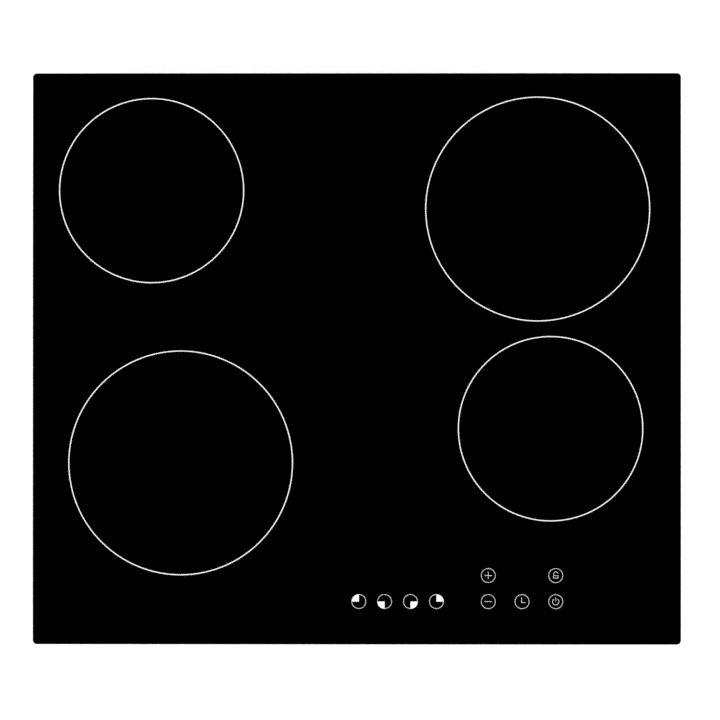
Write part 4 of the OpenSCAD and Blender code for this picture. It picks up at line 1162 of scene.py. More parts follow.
# ------------------------------------------------------------------ cable gland
def make_gland():
    b = Build()
    M = Matrix.Translation((0, 241, 20)) @ Matrix.Rotation(math.radians(-90), 4, "X")
    # body with its flange: knurled grips round the flange
    n = 144
    def ring(r, z, knurl=0.0):
        return [((r - (knurl if (k // 3) % 2 else 0.0)) * math.cos(TAU * k / n), (r - (knurl if (k // 3) % 2 else 0.0)) * math.sin(TAU * k / n), z) for k in range(n)]
    rows = [ring(10.2, -11.3 + 0.1)]
    z = -11.2
    while z < -0.4:
        rows += [ring(9.9, z), ring(10.5, z + 0.35), ring(10.5, z + 0.55), ring(9.9, z + 0.9)]
        z += 1.25
    rows += [ring(10.5, -0.05), ring(13.1, 0.0), ring(13.5, 0.35, 0.0), ring(13.5, 0.5, 0.45), ring(13.5, 2.0, 0.45), ring(13.5, 2.15, 0.0), ring(13.2, 2.5), ring(12.9, 2.6), ring(8.9, 2.6), ring(8.6, 2.4), ring(8.6, -10.9), ring(8.9, -11.2)]
    v, f = loft(rows, closed=True)
    b.add(v, f, 0, M)
    # rubber sealing sleeve that the cable passes through
    sl = [(8.6, -10.8), (8.6, 2.1), (8.3, 2.45), (7.7, 2.55), (7.25, 2.3), (7.0, 1.8), (7.0, -0.6), (7.25, -1.0), (7.25, -1.8), (7.0, -2.2), (7.0, -4.2), (7.25, -4.6), (7.25, -5.4), (7.0, -5.8), (7.0, -10.4), (7.3, -10.9)]
    lathe_to(b, sl, 72, 1, M, True)
    # hexagonal lock nut inside the wall, chamfered, with its own bore
    h = 72
    def hexr(a, R):
        a = (a + math.pi / 6) % (math.pi / 3) - math.pi / 6
        return R * math.cos(math.pi / 6) / math.cos(a)
    def hexring(R, z, cut=None):
        pts = []
        for k in range(h):
            a = TAU * k / h
            rr = hexr(a - math.pi / 6, R)
            if cut is not None:
                rr = min(rr, cut)
            pts.append((rr * math.cos(a), rr * math.sin(a), z))
        return pts
    nut = [hexring(13.2, -11.3, 11.6), hexring(13.2, -10.7, 13.2), hexring(13.2, -7.7, 13.2), hexring(13.2, -7.1, 11.6)]
    bore = [[(10.55 * math.cos(TAU * k / h), 10.55 * math.sin(TAU * k / h), z) for k in range(h)] for z in (-7.1, -11.3)]
    v, f = loft(nut + bore, closed=True)
    b.add(v, f, 0, M)
    return piece(b.obj("cable_gland_body", [M_GLAND, M_RUBBER], 32), "hob", "black_plastic", "cable_gland")


make_seal()
make_rails()
make_tray()
make_screws()
make_clamps()
make_cover()
make_gland()


# ------------------------------------------------------------------ inside: materials
def litz_mat():
    """Bundled enamelled copper strands, twisted: the bundle shows as slanting ropes with fine strands in them. Their
    colour carries painted shade in the grooves and is painted lighter on the crowns.
    """
    m = Mat("copper_litz_bundle", (0.42, 0.17, 0.07), 0.34, 0.85)
    al, ar = m.attr("along"), m.attr("around")
    rope = m.math("SINE", m.math("MULTIPLY", m.math("ADD", m.math("MULTIPLY", ar, 9.0), m.math("MULTIPLY", al, 0.21)), TAU))
    strand = m.math("SINE", m.math("MULTIPLY", m.math("SUBTRACT", m.math("MULTIPLY", ar, 30.0), m.math("MULTIPLY", al, 0.55)), TAU))
    h = m.math("ADD", m.math("MULTIPLY", rope, 0.75), m.math("MULTIPLY", strand, 0.25))
    st = m.noise(60, 4, 0.6)
    # painted shade and highlight: the copper colour is darkened in the grooves between ropes and strands and lightened
    # on their crowns
    c = m.mix(m.remap(h, -0.8, 0.8, 0, 1), (0.17, 0.055, 0.02), (0.56, 0.25, 0.10))
    m.color(m.mix(m.remap(st, 0.45, 0.75, 0, 0.5), c, (0.30, 0.13, 0.05)))
    m.rough(m.remap(h, -0.8, 0.8, 0.48, 0.26))
    m.bump(h, 0.10e-3, 0.9)
    return m.done()


def enamel_wire_mat():
    m = Mat("enamelled_copper_wire", (0.40, 0.13, 0.045), 0.24, 0.8)
    g = m.noise(220, 3, 0.6)
    s = m.noise(900, 2, 0.6)
    m.color(m.mix(g, (0.30, 0.085, 0.03), (0.52, 0.20, 0.075)))
    m.rough(m.remap(s, 0.3, 0.7, 0.16, 0.34))
    m.bump(s, 0.006e-3)
    return m.done()


def mica_mat():
    """Pressed mica board: overlapping pale flakes with a dull sparkle."""
    m = Mat("mica_board", (0.48, 0.40, 0.27), 0.5, 0.0, 0.5)
    m.bevel(0.1e-3)
    fl = m.bw(m.voronoi(900, out="Color"))
    big = m.noise(18, 5, 0.65, dist=0.5)
    t = m.math("ADD", m.math("MULTIPLY", fl, 0.55), m.math("MULTIPLY", big, 0.6))
    m.color(m.ramp(t, [(0.2, (0.36, 0.30, 0.20)), (0.5, (0.41, 0.345, 0.235)), (0.85, (0.47, 0.40, 0.285))]))
    m.rough(m.remap(fl, 0, 1, 0.42, 0.60))
    m.bump(fl, 0.02e-3)
    return m.done()


def ferrite_mat():
    m = Mat("sintered_ferrite", (0.03, 0.03, 0.033), 0.62, 0.15, 0.4)
    g = m.noise(2200, 3, 0.7)
    v = m.voronoi(900)
    m.color(m.mix(m.remap(g, 0.35, 0.7, 0, 1), (0.018, 0.018, 0.021), (0.065, 0.064, 0.068)))
    m.rough(m.remap(v, 0, 0.6, 0.5, 0.78))
    m.bump(g, 0.02e-3)
    return m.done()


def sleeve_mat(name, base=(0.55, 0.50, 0.38), knit=1.0):
    """Braided glass-fibre sleeve, its colour painted darker as shade in the gaps between the crossing yarns."""
    m = Mat(name, base, 0.7, 0.0, 0.3)
    al, ar = m.attr("along"), m.attr("around")
    a = m.math("SINE", m.math("MULTIPLY", m.math("ADD", m.math("MULTIPLY", ar, 8.0), m.math("MULTIPLY", al, 0.62 * knit)), TAU))
    b = m.math("SINE", m.math("MULTIPLY", m.math("SUBTRACT", m.math("MULTIPLY", ar, 8.0), m.math("MULTIPLY", al, 0.62 * knit)), TAU))
    w = m.math("MAXIMUM", a, b)
    # painted shade: the yarn colour is darkened in the gaps of the braid and lightened on the crossing yarns
    m.color(m.mix(m.remap(w, -0.2, 1, 0, 1), shade(base, 0.55), shade(base, 1.15)))
    m.rough(m.remap(w, -0.2, 1, 0.85, 0.6))
    m.bump(w, 0.06e-3)
    return m.done()


def wire_mat(name, base):
    """PVC or silicone insulation: smooth, with faint print-free streaks along it."""
    m = Mat(name, base, 0.38, 0.0, 0.45)
    al = m.attr("along")
    g = m.noise(500, 3, 0.6)
    k = m.noise(45, 3, 0.6)
    r = m.math("SINE", m.math("MULTIPLY", al, 0.9))
    m.color(m.mix(m.remap(k, 0.3, 0.7, 0, 1), shade(base, 0.8), shade(base, 1.15)))
    m.rough(m.remap(m.math("ADD", g, m.math("MULTIPLY", r, 0.12)), 0.2, 0.8, 0.28, 0.52))
    m.bump(g, 0.008e-3)
    return m.done()


def pcb_mat(name, mask=(0.012, 0.075, 0.035), over=(0.03, 0.14, 0.06)):
    """Solder mask over copper areas and traces."""
    m = Mat(name, mask, 0.3, 0.0, 0.5)
    br = m.n("ShaderNodeTexBrick")
    m.put(br.inputs["Vector"], m.coord((1, 1, 1)))
    br.inputs["Scale"].default_value = 75
    br.inputs["Mortar Size"].default_value = 0.10
    br.inputs["Brick Width"].default_value = 1.7
    br.inputs["Row Height"].default_value = 0.42
    br.offset = 0.37
    br.squash = 0.6
    br.squash_frequency = 3
    area = m.bw(m.voronoi(34, out="Color"))
    via = m.remap(m.voronoi(210, rnd=0.9), 0.0, 0.16, 1, 0)
    t = m.math("MAXIMUM", m.math("MULTIPLY", br.outputs["Fac"], m.remap(area, 0.35, 0.4, 0, 1)), m.remap(area, 0.72, 0.76, 0, 0.8))
    c = m.mix(t, mask, over)
    m.color(m.mix(m.math("MULTIPLY", via, 0.75), c, (0.42, 0.40, 0.32)))
    m.rough(m.remap(t, 0, 1, 0.34, 0.22))
    m.bump(t, 0.02e-3)
    return m.done()


def brass_mat():
    m = Mat("turned_brass", (0.58, 0.42, 0.17), 0.27, 1.0)
    line = m.noise(1200, 3, 0.5, vec=m.coord((0.3, 0.3, 3)))
    st = m.noise(120, 4, 0.6)
    m.color(m.mix(m.remap(st, 0.35, 0.7, 0, 1), (0.46, 0.32, 0.12), (0.66, 0.50, 0.22)))
    m.rough(m.remap(line, 0.3, 0.7, 0.18, 0.38))
    m.bump(line, 0.006e-3)
    return m.done()


M_PLATE = aluminium("coil_plate_aluminium", (0.56, 0.57, 0.59), 0, 0.36)
M_SINK = aluminium("extruded_heatsink_aluminium", (0.52, 0.53, 0.55), 1, 0.30)
M_BRASS = brass_mat()
M_POST = turned("bright_turned_steel", (0.44, 0.45, 0.47), 0.24)
M_SPRING = turned("spring_steel_wire", (0.40, 0.41, 0.43), 0.30)
M_CONTACT = turned("gilt_contact_spring", (0.62, 0.47, 0.20), 0.24)
M_LITZ = litz_mat()
M_ENAMEL = enamel_wire_mat()
M_COIL_PL = plastic("coil_carrier_polyester", (0.50, 0.46, 0.37), 0.55, 700, 0.03e-3, 0.08)
M_FERRITE = ferrite_mat()
M_MICA = mica_mat()
M_SENSOR = plastic("sensor_steatite", (0.62, 0.61, 0.57), 0.5, 1600, 0.012e-3, 0.06)
M_SLEEVE = sleeve_mat("glass_fibre_sleeve")
M_SENSE_WIRE = wire_mat("sensor_wire_white", (0.50, 0.50, 0.48))
M_BROWN = wire_mat("wire_brown_insulation", (0.10, 0.035, 0.014))
M_BLUE = wire_mat("wire_blue_insulation", (0.02, 0.07, 0.30))
M_WBLACK = wire_mat("wire_black_insulation", (0.014, 0.014, 0.015))
M_RED = wire_mat("wire_red_insulation", (0.32, 0.012, 0.010))
M_TRAY_PL = plastic("board_tray_polypropylene", (0.52, 0.53, 0.54), 0.5, 800, 0.02e-3, 0.06)
M_BOX_PL = plastic("terminal_box_polyamide", (0.58, 0.58, 0.55), 0.42, 900, 0.02e-3, 0.05)
M_TERM_PL = plastic("terminal_block_polyamide", (0.52, 0.49, 0.40), 0.4, 1200, 0.015e-3, 0.06)
M_FAN = plastic("fan_black_polymer", (0.020, 0.020, 0.022), 0.38, 1300, 0.015e-3, 0.15)
M_HOLDER = plastic("control_holder_polymer", (0.030, 0.031, 0.034), 0.45, 1000, 0.02e-3, 0.15)
M_CHIP = plastic("moulded_epoxy", (0.018, 0.018, 0.020), 0.55, 1800, 0.02e-3, 0.2)
M_CAP = plastic("film_capacitor_case", (0.16, 0.20, 0.26), 0.33, 900, 0.012e-3, 0.08)
M_POTTING = plastic("capacitor_potting", (0.10, 0.11, 0.13), 0.3, 500, 0.03e-3, 0.15)
M_ELCO = plastic("electrolytic_sleeve", (0.015, 0.018, 0.03), 0.25, 400, 0.01e-3, 0.2)
M_RELAY = plastic("relay_case", (0.03, 0.05, 0.12), 0.35, 900, 0.012e-3, 0.1)
M_PLUG = plastic("plug_nylon", (0.55, 0.54, 0.49), 0.4, 900, 0.012e-3, 0.06)
M_TAPE = plastic("transformer_tape", (0.42, 0.33, 0.04), 0.4, 300, 0.02e-3, 0.12)
M_TIN = turned("tinned_copper", (0.58, 0.58, 0.57), 0.3)
M_PCB = pcb_mat("green_solder_mask")
M_FR4 = plastic("board_edge_fibreglass", (0.30, 0.28, 0.14), 0.6, 1500, 0.03e-3, 0.2)
M_SMD = plastic("ceramic_chip_part", (0.22, 0.16, 0.10), 0.4, 1500, 0.01e-3, 0.15)
M_RIBBON = wire_mat("ribbon_grey_pvc", (0.30, 0.30, 0.31))
M_DIFFUSER = plastic("light_window", (0.50, 0.47, 0.45), 0.3, 900, 0.01e-3, 0.05)


# ------------------------------------------------------------------ CAD nodes that keep their shape
def dress(node, mat, width=0.3, seg=2, angle=30.0):
    """A carried-over CAD node: its material, its flat faces merged, and its edges rounded."""
    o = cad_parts[node]
    me = o.data
    if len(me.materials):
        for i in range(len(me.materials)):
            me.materials[i] = mat
    else:
        me.materials.append(mat)
    w = o.modifiers.new("join", "WELD")
    w.merge_threshold = 2e-6
    d = o.modifiers.new("flat", "DECIMATE")
    d.decimate_type = "DISSOLVE"
    d.angle_limit = math.radians(0.6)
    if width:
        v = o.modifiers.new("round_edges", "BEVEL")
        v.width = width * MM
        v.segments = seg
        v.limit_method = "ANGLE"
        v.angle_limit = math.radians(angle)
        v.miter_outer = "MITER_ARC"
        v.use_clamp_overlap = True
        v.harden_normals = False
        k = o.modifiers.new("close_slivers", "WELD")
        k.merge_threshold = 8e-6
    n = o.modifiers.new("even_shading", "WEIGHTED_NORMAL")
    n.mode = "FACE_AREA"
    n.keep_sharp = True
    return o


# ------------------------------------------------------------------ coil plate, posts, springs
def polar(r, a, z=0.0):
    return Vector((r * math.cos(math.radians(a)), r * math.sin(math.radians(a)), z))


def make_plate():
    b = Build()
    holes = []
    for x, y, RR, R, ri, ro, rp, angs, la in ZONES.values():
        for a in angs:
            p = polar(rp, a)
            holes.append(circ(x + p.x, y + p.y, 2.5, 24))
        p = polar(R + 12, la)
        holes.append(slot_o(x + p.x, y + p.y, 30, 16, la + 90, 12))
        holes.append(circ(x, y, 14, 48))
    holes += [circ(x, y, 2.1, 20) for x, y in STANDOFFS]
    holes.append(slot_o(60, -160, 30, 9, 0, 8))
    holes += [slot_o(s * 30 + k * 7, 40, 60, 3.6, 90, 6) for s in (-1, 1) for k in range(-3, 4)]
    plate(b, rrect_o(542.4, 472.4, 12, n=12), holes, 36.0, 37.5, 0.12)
    return piece(b.obj("coil_support_plate", [M_PLATE], 35, True), "hob", "aluminium", "coil_plate")


def make_posts():
    b = Build()
    def hexloop(R, z, cut=99.0, n=36):
        out = []
        for k in range(n):
            a = TAU * k / n
            q = (a + math.pi / 6) % (math.pi / 3) - math.pi / 6
            rr = min(R * math.cos(math.pi / 6) / math.cos(q), cut)
            out.append((rr * math.cos(a + math.pi / 6), rr * math.sin(a + math.pi / 6), z))
        return out
    def cirloop(r, z, n=36):
        return [(r * math.cos(TAU * k / n + math.pi / 6), r * math.sin(TAU * k / n + math.pi / 6), z) for k in range(n)]
    rows = [hexloop(4.6, 6.8, 4.1), hexloop(4.6, 7.2), hexloop(4.6, 35.6), hexloop(4.6, 36.0, 4.1), cirloop(2.5, 36.0), cirloop(2.05, 35.6), cirloop(2.05, 19.0), cirloop(0.3, 18.2)]
    v, f = loft(rows)
    for x, y in STANDOFFS:
        b.add(v, f, M=Matrix.Translation((x, y, 0)))
    piece(b.obj("hexagonal_standoffs", [M_BRASS], 32), "hob", "brass", "plate_standoffs")
    g = Build()
    prof = [(0, 34.8), (3.2, 34.8), (3.8, 35.1), (4.0, 35.6), (4.0, 36.0), (2.5, 36.0), (2.5, 37.5), (5.3, 37.5), (5.5, 37.7), (5.5, 38.3), (5.3, 38.5), (3.3, 38.5), (3.0, 38.8),
            (3.0, 44.0), (3.0, 51.5), (2.9, 51.8), (2.4, 52.4), (2.1, 52.5), (0, 52.5)]
    for x, y, RR, R, ri, ro, rp, angs, la in ZONES.values():
        for a in angs:
            p = polar(rp, a)
            lathe_to(g, prof, 40, 0, Matrix.Translation((x + p.x, y + p.y, 0)))
    return piece(g.obj("coil_guide_posts", [M_POST], 32), "hob", "post_steel", "guide_posts")


def helix(r, wire, z0, z1, turns, seg=24, flat=0.7, taper=0.0):
    """Points of a compression spring with closed ends."""
    n = int(turns * seg)
    lo, hi = z0 + wire, z1 - wire
    pts = []
    for k in range(n + 1):
        t = k / seg
        u = min(max((t - flat) / (turns - 2 * flat), 0.0), 1.0)
        d = (hi - lo) - 2 * flat * wire * 0.5
        z = lo + min(t, flat) * wire * 0.5 + u * d + max(0.0, t - (turns - flat)) * wire * 0.5
        rr = r - taper * (k / n)
        pts.append(Vector((rr * math.cos(TAU * t), rr * math.sin(TAU * t), z)))
    return pts


def make_springs():
    for name, (x, y, RR, R, ri, ro, rp, angs, la) in ZONES.items():
        b = Build()
        for a in angs:
            p = polar(rp, a)
            P = [q + Vector((x + p.x, y + p.y, 0)) for q in helix(4.3, 0.5, 38.5, 46.0, 4.4)]
            tube_to(b, P, 0.5, 10)
        o = b.obj("coil_springs_" + name, [M_SPRING], 50, False, False)
        piece(o, "hob", "spring_steel", "coil_springs")
        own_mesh(o)


# ------------------------------------------------------------------ coil units
def make_coils():
    for name, (x, y, RR, R, ri, ro, rp, angs, la) in ZONES.items():
        body = "coil_" + name
        C = Vector((x, y, 0))
        b = Build()
        for k in range(8):
            M = Matrix.Translation(C) @ Matrix.Rotation(math.radians(45 * k), 4, "Z")
            box_to(b, 20.4, -5, 46.4, R - 4, 5, 50.2, 0.45, 2, 0, M)
        piece(b.obj("ferrite_bar_set_" + name, [M_FERRITE], 40), body, "ferrite", "ferrite_bars_" + name)
        # flat spiral, wound outwards from the middle, its outer end leaving at the lead angle
        n = int((ro - ri) // 4)
        turns = n - 1
        seg = 72
        P = []
        for k in range(int(turns * seg) + 1):
            t = k / seg
            rad = ri + 1.97 + 4.0 * t
            a = la - 360.0 * (turns - t)
            q = polar(rad, a, 53.17)
            P.append(C + q)
        w = Build()
        sec = [(1.94 * math.cos(TAU * k / 14) * (1.0 if math.cos(TAU * k / 14) < 0 else 1.0), 1.97 * math.sin(TAU * k / 14)) for k in range(14)]
        tube_to(w, P, 0, 14, 0, None, (0, 0, -1), sec)
        # inner end bound down with a short sleeve
        q0, q1 = P[0], P[6]
        tube_to(w, [P[0], P[1], P[2], P[3]], 2.05, 14, 1, None, (0, 0, -1))
        piece(w.obj("litz_winding_" + name, [M_LITZ, M_SLEEVE], 60, False, False), body, "copper_litz", "coil_winding_" + name)
        m = Build()
        lathe_to(m, [(10.0, 55.24), (R - 2.54, 55.2), (R - 2.5, 55.24), (R - 2.5, 55.93), (R - 2.54, 55.97), (10.04, 55.97), (10.0, 55.93)], 128, 0, Matrix.Translation(C), True)
        piece(m.obj("mica_sheet_" + name, [M_MICA], 30), body, "mica", "mica_disc_" + name)
        s = Build()
        lathe_to(s, [(0, 45.2), (2.7, 45.2), (3.0, 45.5), (3.0, 47.0), (8.5, 47.0), (8.9, 47.4), (8.9, 49.6), (8.3, 49.9), (8.3, 50.9), (8.9, 51.2), (8.9, 53.8), (8.7, 54.05), (6.3, 54.85), (6.0, 55.1), (6.0, 55.75), (5.8, 55.95), (0, 55.95)], 64, 0, Matrix.Translation(C))
        # spring clip ring in the groove
        lathe_to(s, [(8.35 + 0.42 * math.cos(TAU * k / 8), 50.4 + 0.42 * math.sin(TAU * k / 8)) for k in range(8)], 64, 1, Matrix.Translation(C), True)
        piece(s.obj("temperature_sensor_" + name, [M_SENSOR, M_SPRING], 32), body, "sensor_ceramic", "zone_sensor_" + name)


TERM = {"rear_left": ((-128, 60), (-116, 60)), "rear_right": ((128, 60), (116, 60)), "front_left": ((-116, 0), (-104, 0)), "front_right": ((104, 0), (116, 0))}
PLUG = {"rear_left": (-132, 43), "rear_right": (132, 43), "front_left": (-129, -8), "front_right": (129, -8)}
WAY = {"rear_left": ((-141, 68, 30), (-136, 54, 28.5)), "rear_right": ((113, 44, 30), (124, 46, 28.5)), "front_left": ((-110, -8, 30), (-122, -14, 28)), "front_right": ((115, -6.5, 30), (124, -10, 28))}


def bending(o):
    """Bakes a wire object's placement into its mesh, and hides the CAD coil leads in its place."""
    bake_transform(o)
    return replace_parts(o, "coil_leads")


def make_leads():
    lugs = Build()
    for name, (x, y, RR, R, ri, ro, rp, angs, a) in ZONES.items():
        c = Vector((x, y, 0))
        rout = ri + ((ro - ri) // 4) * 4
        side = Vector((-math.sin(math.radians(a)), math.cos(math.radians(a)), 0))
        b = Build()
        for k in (0, 1):
            o = side * 5.5 * (1 if k == 0 else -1) * (-1 if name == "rear_left" else 1)
            t = Vector((*TERM[name][k], 0))
            p4 = c + polar(R + 12, a) + o
            up = lambda v, z: v + Vector((0, 0, z))
            pts = [up(c + polar(rout - 1.6, a) + o, 53.15), up(c + polar(R + 1, a) + o, 53.15), up(c + polar(R + 8, a) + o, 50.7), up(c + polar(R + 12, a) + o, 44.2),
                   up(p4, 37.0), up(p4.lerp(t, 0.3), 33.6), up(p4.lerp(t, 0.8), 33.4), up(t, 30.2)]
            tube_to(b, cr(pts, 9), 1.8, 14)
            # copper core at the coil end, and the crimped lug on its stud
            tube_to(b, [up(c + polar(rout - 3.4, a) + o, 53.15), up(c + polar(rout - 1.2, a) + o, 53.15)], 1.45, 12, 1)
            M = Matrix.Translation(t)
            plate(lugs, circ(0, 0, 4.2, 28), [circ(0, 0, 1.2, 16)], 26.0, 27.2, 0.12, 0, M)
            lathe_to(lugs, [(0.4, 27.0), (2.9, 27.1), (3.0, 27.4), (2.75, 27.7), (2.75, 28.4), (2.3, 28.7), (2.3, 29.2), (2.75, 29.5), (2.75, 30.4), (2.95, 30.7), (2.9, 31.0), (1.9, 31.0), (1.9, 27.3), (0.4, 27.3)], 28, 0, M, True)
        o1 = b.obj("coil_lead_pair_" + name, [M_SLEEVE, M_LITZ], 60, False, False)
        bending(o1)
        # sensor wires: a twisted pair
        q = c + polar(R + 12, a)
        up = lambda v, z: v + Vector((0, 0, z))
        pts = cr([up(c, 45.0), up(c, 43.0), up(c + polar(3, a), 40.1), up(c + polar(12, a), 38.8), up(c + polar(R * 0.5, a), 38.6), up(c + polar(R + 3, a), 38.8),
                  up(q + polar(-1, a), 35.0), Vector(WAY[name][0]), Vector(WAY[name][1]), Vector((PLUG[name][0], PLUG[name][1], 24.5))], 14)
        s = Build()
        pair(s, pts, 0.46, 0.44, 9.0, (0, 0))
        o2 = s.obj("sensor_wires_" + name, [M_SENSE_WIRE], 60, False, False)
        bending(o2)
        px, py = PLUG[name]
        box_to(lugs, px - 4, py - 3, 20.6, px + 4, py + 3, 25.1, 0.35, 2, 1)
        for dx in (-2.4, 0, 2.4):
            box_to(lugs, px + dx - 0.5, py + 2.7, 21.4, px + dx + 0.5, py + 3.3, 24.0, 0.12, 1, 1)
    o = lugs.obj("lead_lugs_and_plugs", [M_TIN, M_PLUG], 32, False)
    return piece(o, "hob", "lead_sleeve", "coil_leads")


def pair(b, pts, r, off, lay, mats):
    """Two wires twisted about a path."""
    Tn, N = frames(pts)
    dist = 0.0
    A, B = [], []
    for i, p in enumerate(pts):
        if i:
            dist += (pts[i] - pts[i - 1]).length
        ang = TAU * dist / lay
        d = N[i] * math.cos(ang) + Tn[i].cross(N[i]) * math.sin(ang)
        A.append(p + d * off)
        B.append(p - d * off)
    tube_to(b, A, r, 8, mats[0])
    tube_to(b, B, r, 8, mats[1])


make_plate()
make_posts()
make_springs()
make_coils()
make_leads()


# ------------------------------------------------------------------ coil carriers
def sector_o(r0, r1, a0, a1, n=14, c=1.0):
    """An air window: part of a ring between two angles, with small round corners."""
    def f(g=0.0):
        R0, R1 = r0 - g, r1 + g
        pts = []
        for r, aa, ab in ((R1, a0, a1), (R0, a1, a0)):
            d = math.degrees(g / r)
            s = 1 if ab > aa else -1
            lo, hi = aa - s * d, ab + s * d
            k = s * math.degrees(c / r)
            pts.append((r - c * (1 if r == R1 else -1), lo))
            pts.append((r - c * 0.3 * (1 if r == R1 else -1), lo + k * 0.3))
            for i in range(n + 1):
                pts.append((r, lo + k + (hi - lo - 2 * k) * i / n))
            pts.append((r - c * 0.3 * (1 if r == R1 else -1), hi - k * 0.3))
            pts.append((r - c * (1 if r == R1 else -1), hi))
        return [(r * math.cos(math.radians(a)), r * math.sin(math.radians(a))) for r, a in pts]
    return f


def make_carriers():
    """Moulded carrier: thin web with air windows, pockets for the ferrites, rim, hub and guide ears."""
    zc, zw = 46.0, 51.2
    for name, (x, y, RR, R, ri, ro, rp, angs, la) in ZONES.items():
        b = Build()
        M = T(x, y, 0)
        holes = [sector_o(ri + 18, R - 8, 45 * (k + 0.5) - 11, 45 * (k + 0.5) + 11) for k in range(8)]
        plate(b, circ(0, 0, R - 1.6, 144), holes + [circ(0, 0, 9.0, 48)], zw - 1, zw, 0.15, 0, M)
        # rim: full height below the web, with the lead's notch above it
        lathe_to(b, [(R - 2, zc + 0.3), (R - 1.7, zc), (R - 0.35, zc), (R - 0.1, zc + 0.1), (R, zc + 0.35), (R, zw), (R - 2, zw)], 144, 0, M, True)
        half = math.degrees(math.asin(11.0 / R))
        a0, a1 = la + half, la + 360 - half
        n = 132
        out = [(R * math.cos(math.radians(a0 + (a1 - a0) * i / n)), R * math.sin(math.radians(a0 + (a1 - a0) * i / n))) for i in range(n + 1)]
        inn = [((R - 2) * math.cos(math.radians(a1 + (a0 - a1) * i / n)), (R - 2) * math.sin(math.radians(a1 + (a0 - a1) * i / n))) for i in range(n + 1)]
        prism(b, poly_o(out + inn), zw - 0.4, zw + 1.3, 0.3, 0, M, 2)
        # hub, and the collar that centres the winding
        lathe_to(b, [(9.0, zc + 0.3), (9.3, zc), (17.7, zc), (18.0, zc + 0.3), (18.0, zw - 0.2), (12.0, zw - 0.2), (12.0, zw + 3.3), (11.7, zw + 3.6), (9.3, zw + 3.6), (9.0, zw + 3.3)], 72, 0, M, True)
        for k in range(8):
            Q = M @ Matrix.Rotation(math.radians(45 * k), 4, "Z")
            for s in (-1, 1):
                ya, yb = sorted((s * 5.2, s * 6.6))
                box_to(b, 15.8, ya, zc, R - 1.4, yb, zw - 0.8, 0.22, 2, 0, Q)
            box_to(b, 16.5, -6.0, zc, 20.0, 6.0, zw - 0.8, 0.22, 2, 0, Q)
            box_to(b, R - 3.5, -6.0, zc, R - 1.2, 6.0, zw - 0.8, 0.22, 2, 0, Q)
            # snap nibs that hold the bar
            for xx in (30.0, R - 16.0):
                for s in (-1, 1):
                    ya, yb = sorted((s * 4.85, s * 5.6))
                    box_to(b, xx, ya, zc + 0.02, xx + 3, yb, zc + 0.36, 0.12, 1, 0, Q)
        # stiffening ring between the pockets, under the web
        for k in range(8):
            A0, A1 = 45 * k + math.degrees(math.asin(6.2 / (R - 5.5))), 45 * (k + 1) - math.degrees(math.asin(6.2 / (R - 5.5)))
            m = 12
            o1 = [((R - 5.0) * math.cos(math.radians(A0 + (A1 - A0) * i / m)), (R - 5.0) * math.sin(math.radians(A0 + (A1 - A0) * i / m))) for i in range(m + 1)]
            i1 = [((R - 6.2) * math.cos(math.radians(A1 + (A0 - A1) * i / m)), (R - 6.2) * math.sin(math.radians(A1 + (A0 - A1) * i / m))) for i in range(m + 1)]
            prism(b, poly_o(o1 + i1), zw - 3.4, zw - 0.8, 0.2, 0, M, 1)
        # guide ears, each with a gusset against the rim
        for a in angs:
            Q = M @ Matrix.Rotation(math.radians(a), 4, "Z")
            dx = math.sqrt(7.0 ** 2 - 6.0 ** 2)
            ear = [(R - 1.2, -6.0)] + [(rp + 7 * math.cos(t), 7 * math.sin(t)) for t in [math.radians(-121 + 242 * i / 36) for i in range(37)]] + [(R - 1.2, 6.0)]
            plate(b, poly_o(ear), [circ(rp, 0, 3.05, 40)], zc, zc + 3.0, 0.25, 0, Q)
            for s in (-1, 1):
                ya, yb = sorted((s * 4.4, s * 5.6))
                v, f = loft([[(R - 0.6, yy, zc + 2.8), (R + 3.4, yy, zc + 2.8), (R - 0.6, yy, zc + 5.0)] for yy in (ya, yb)])
                b.add(v, f, 0, Q)
        piece(b.obj("coil_carrier_moulding_" + name, [M_COIL_PL], 32, True), "coil_" + name, "coil_plastic", "coil_carrier_" + name)


make_carriers()


# ------------------------------------------------------------------ electronics
def board_plate(b, outer, holes, z0, z1, M=None):
    """Mask on both faces (material 0), bare laminate round the edges (material 1)."""
    for z in (z0, z1):
        fill(b, [outer(0)] + [h(0) for h in holes], z, 0, M)
    for fn in [outer] + holes:
        wall(b, [(fn(0), z0), (fn(0), z1)], 1, M)


def solder(b, x, y, z, r, down=True, mat=2, M=None):
    s = -1 if down else 1
    lathe_to(b, [(r, z), (r * 0.92, z + s * 0.25), (r * 0.55, z + s * 0.7), (0.28, z + s * 1.0), (0, z + s * 1.05)], 12, mat, (M or Matrix.Identity(4)) @ Matrix.Translation((x, y, 0)))


def chip_parts(b, rnd, x0, y0, x1, y1, z, count, M, mats=(7, 2)):
    """Small ceramic parts in loose rows, each with two tinned ends."""
    cols = max(1, int((x1 - x0) / 4.2))
    for i in range(count):
        x = x0 + 2.1 + (i % cols) * 4.2 + rnd.uniform(-0.25, 0.25)
        y = y0 + 1.6 + (i // cols) * 3.4 + rnd.uniform(-0.25, 0.25)
        if y > y1 - 1:
            break
        turn = rnd.choice((0, 90))
        q = M @ T(x, y, 0, turn)
        L, W, H = rnd.choice(((2.0, 1.25, 0.6), (1.6, 0.8, 0.5), (3.2, 1.6, 0.7)))
        box_to(b, -L / 2 + 0.3, -W / 2, z, L / 2 - 0.3, W / 2, z + H, 0.06, 1, mats[0], q)
        for s in (-1, 1):
            box_to(b, s * (L / 2 - 0.16) - 0.2, -W / 2 - 0.03, z, s * (L / 2 - 0.16) + 0.2, W / 2 + 0.03, z + H + 0.03, 0.06, 1, mats[1], q)


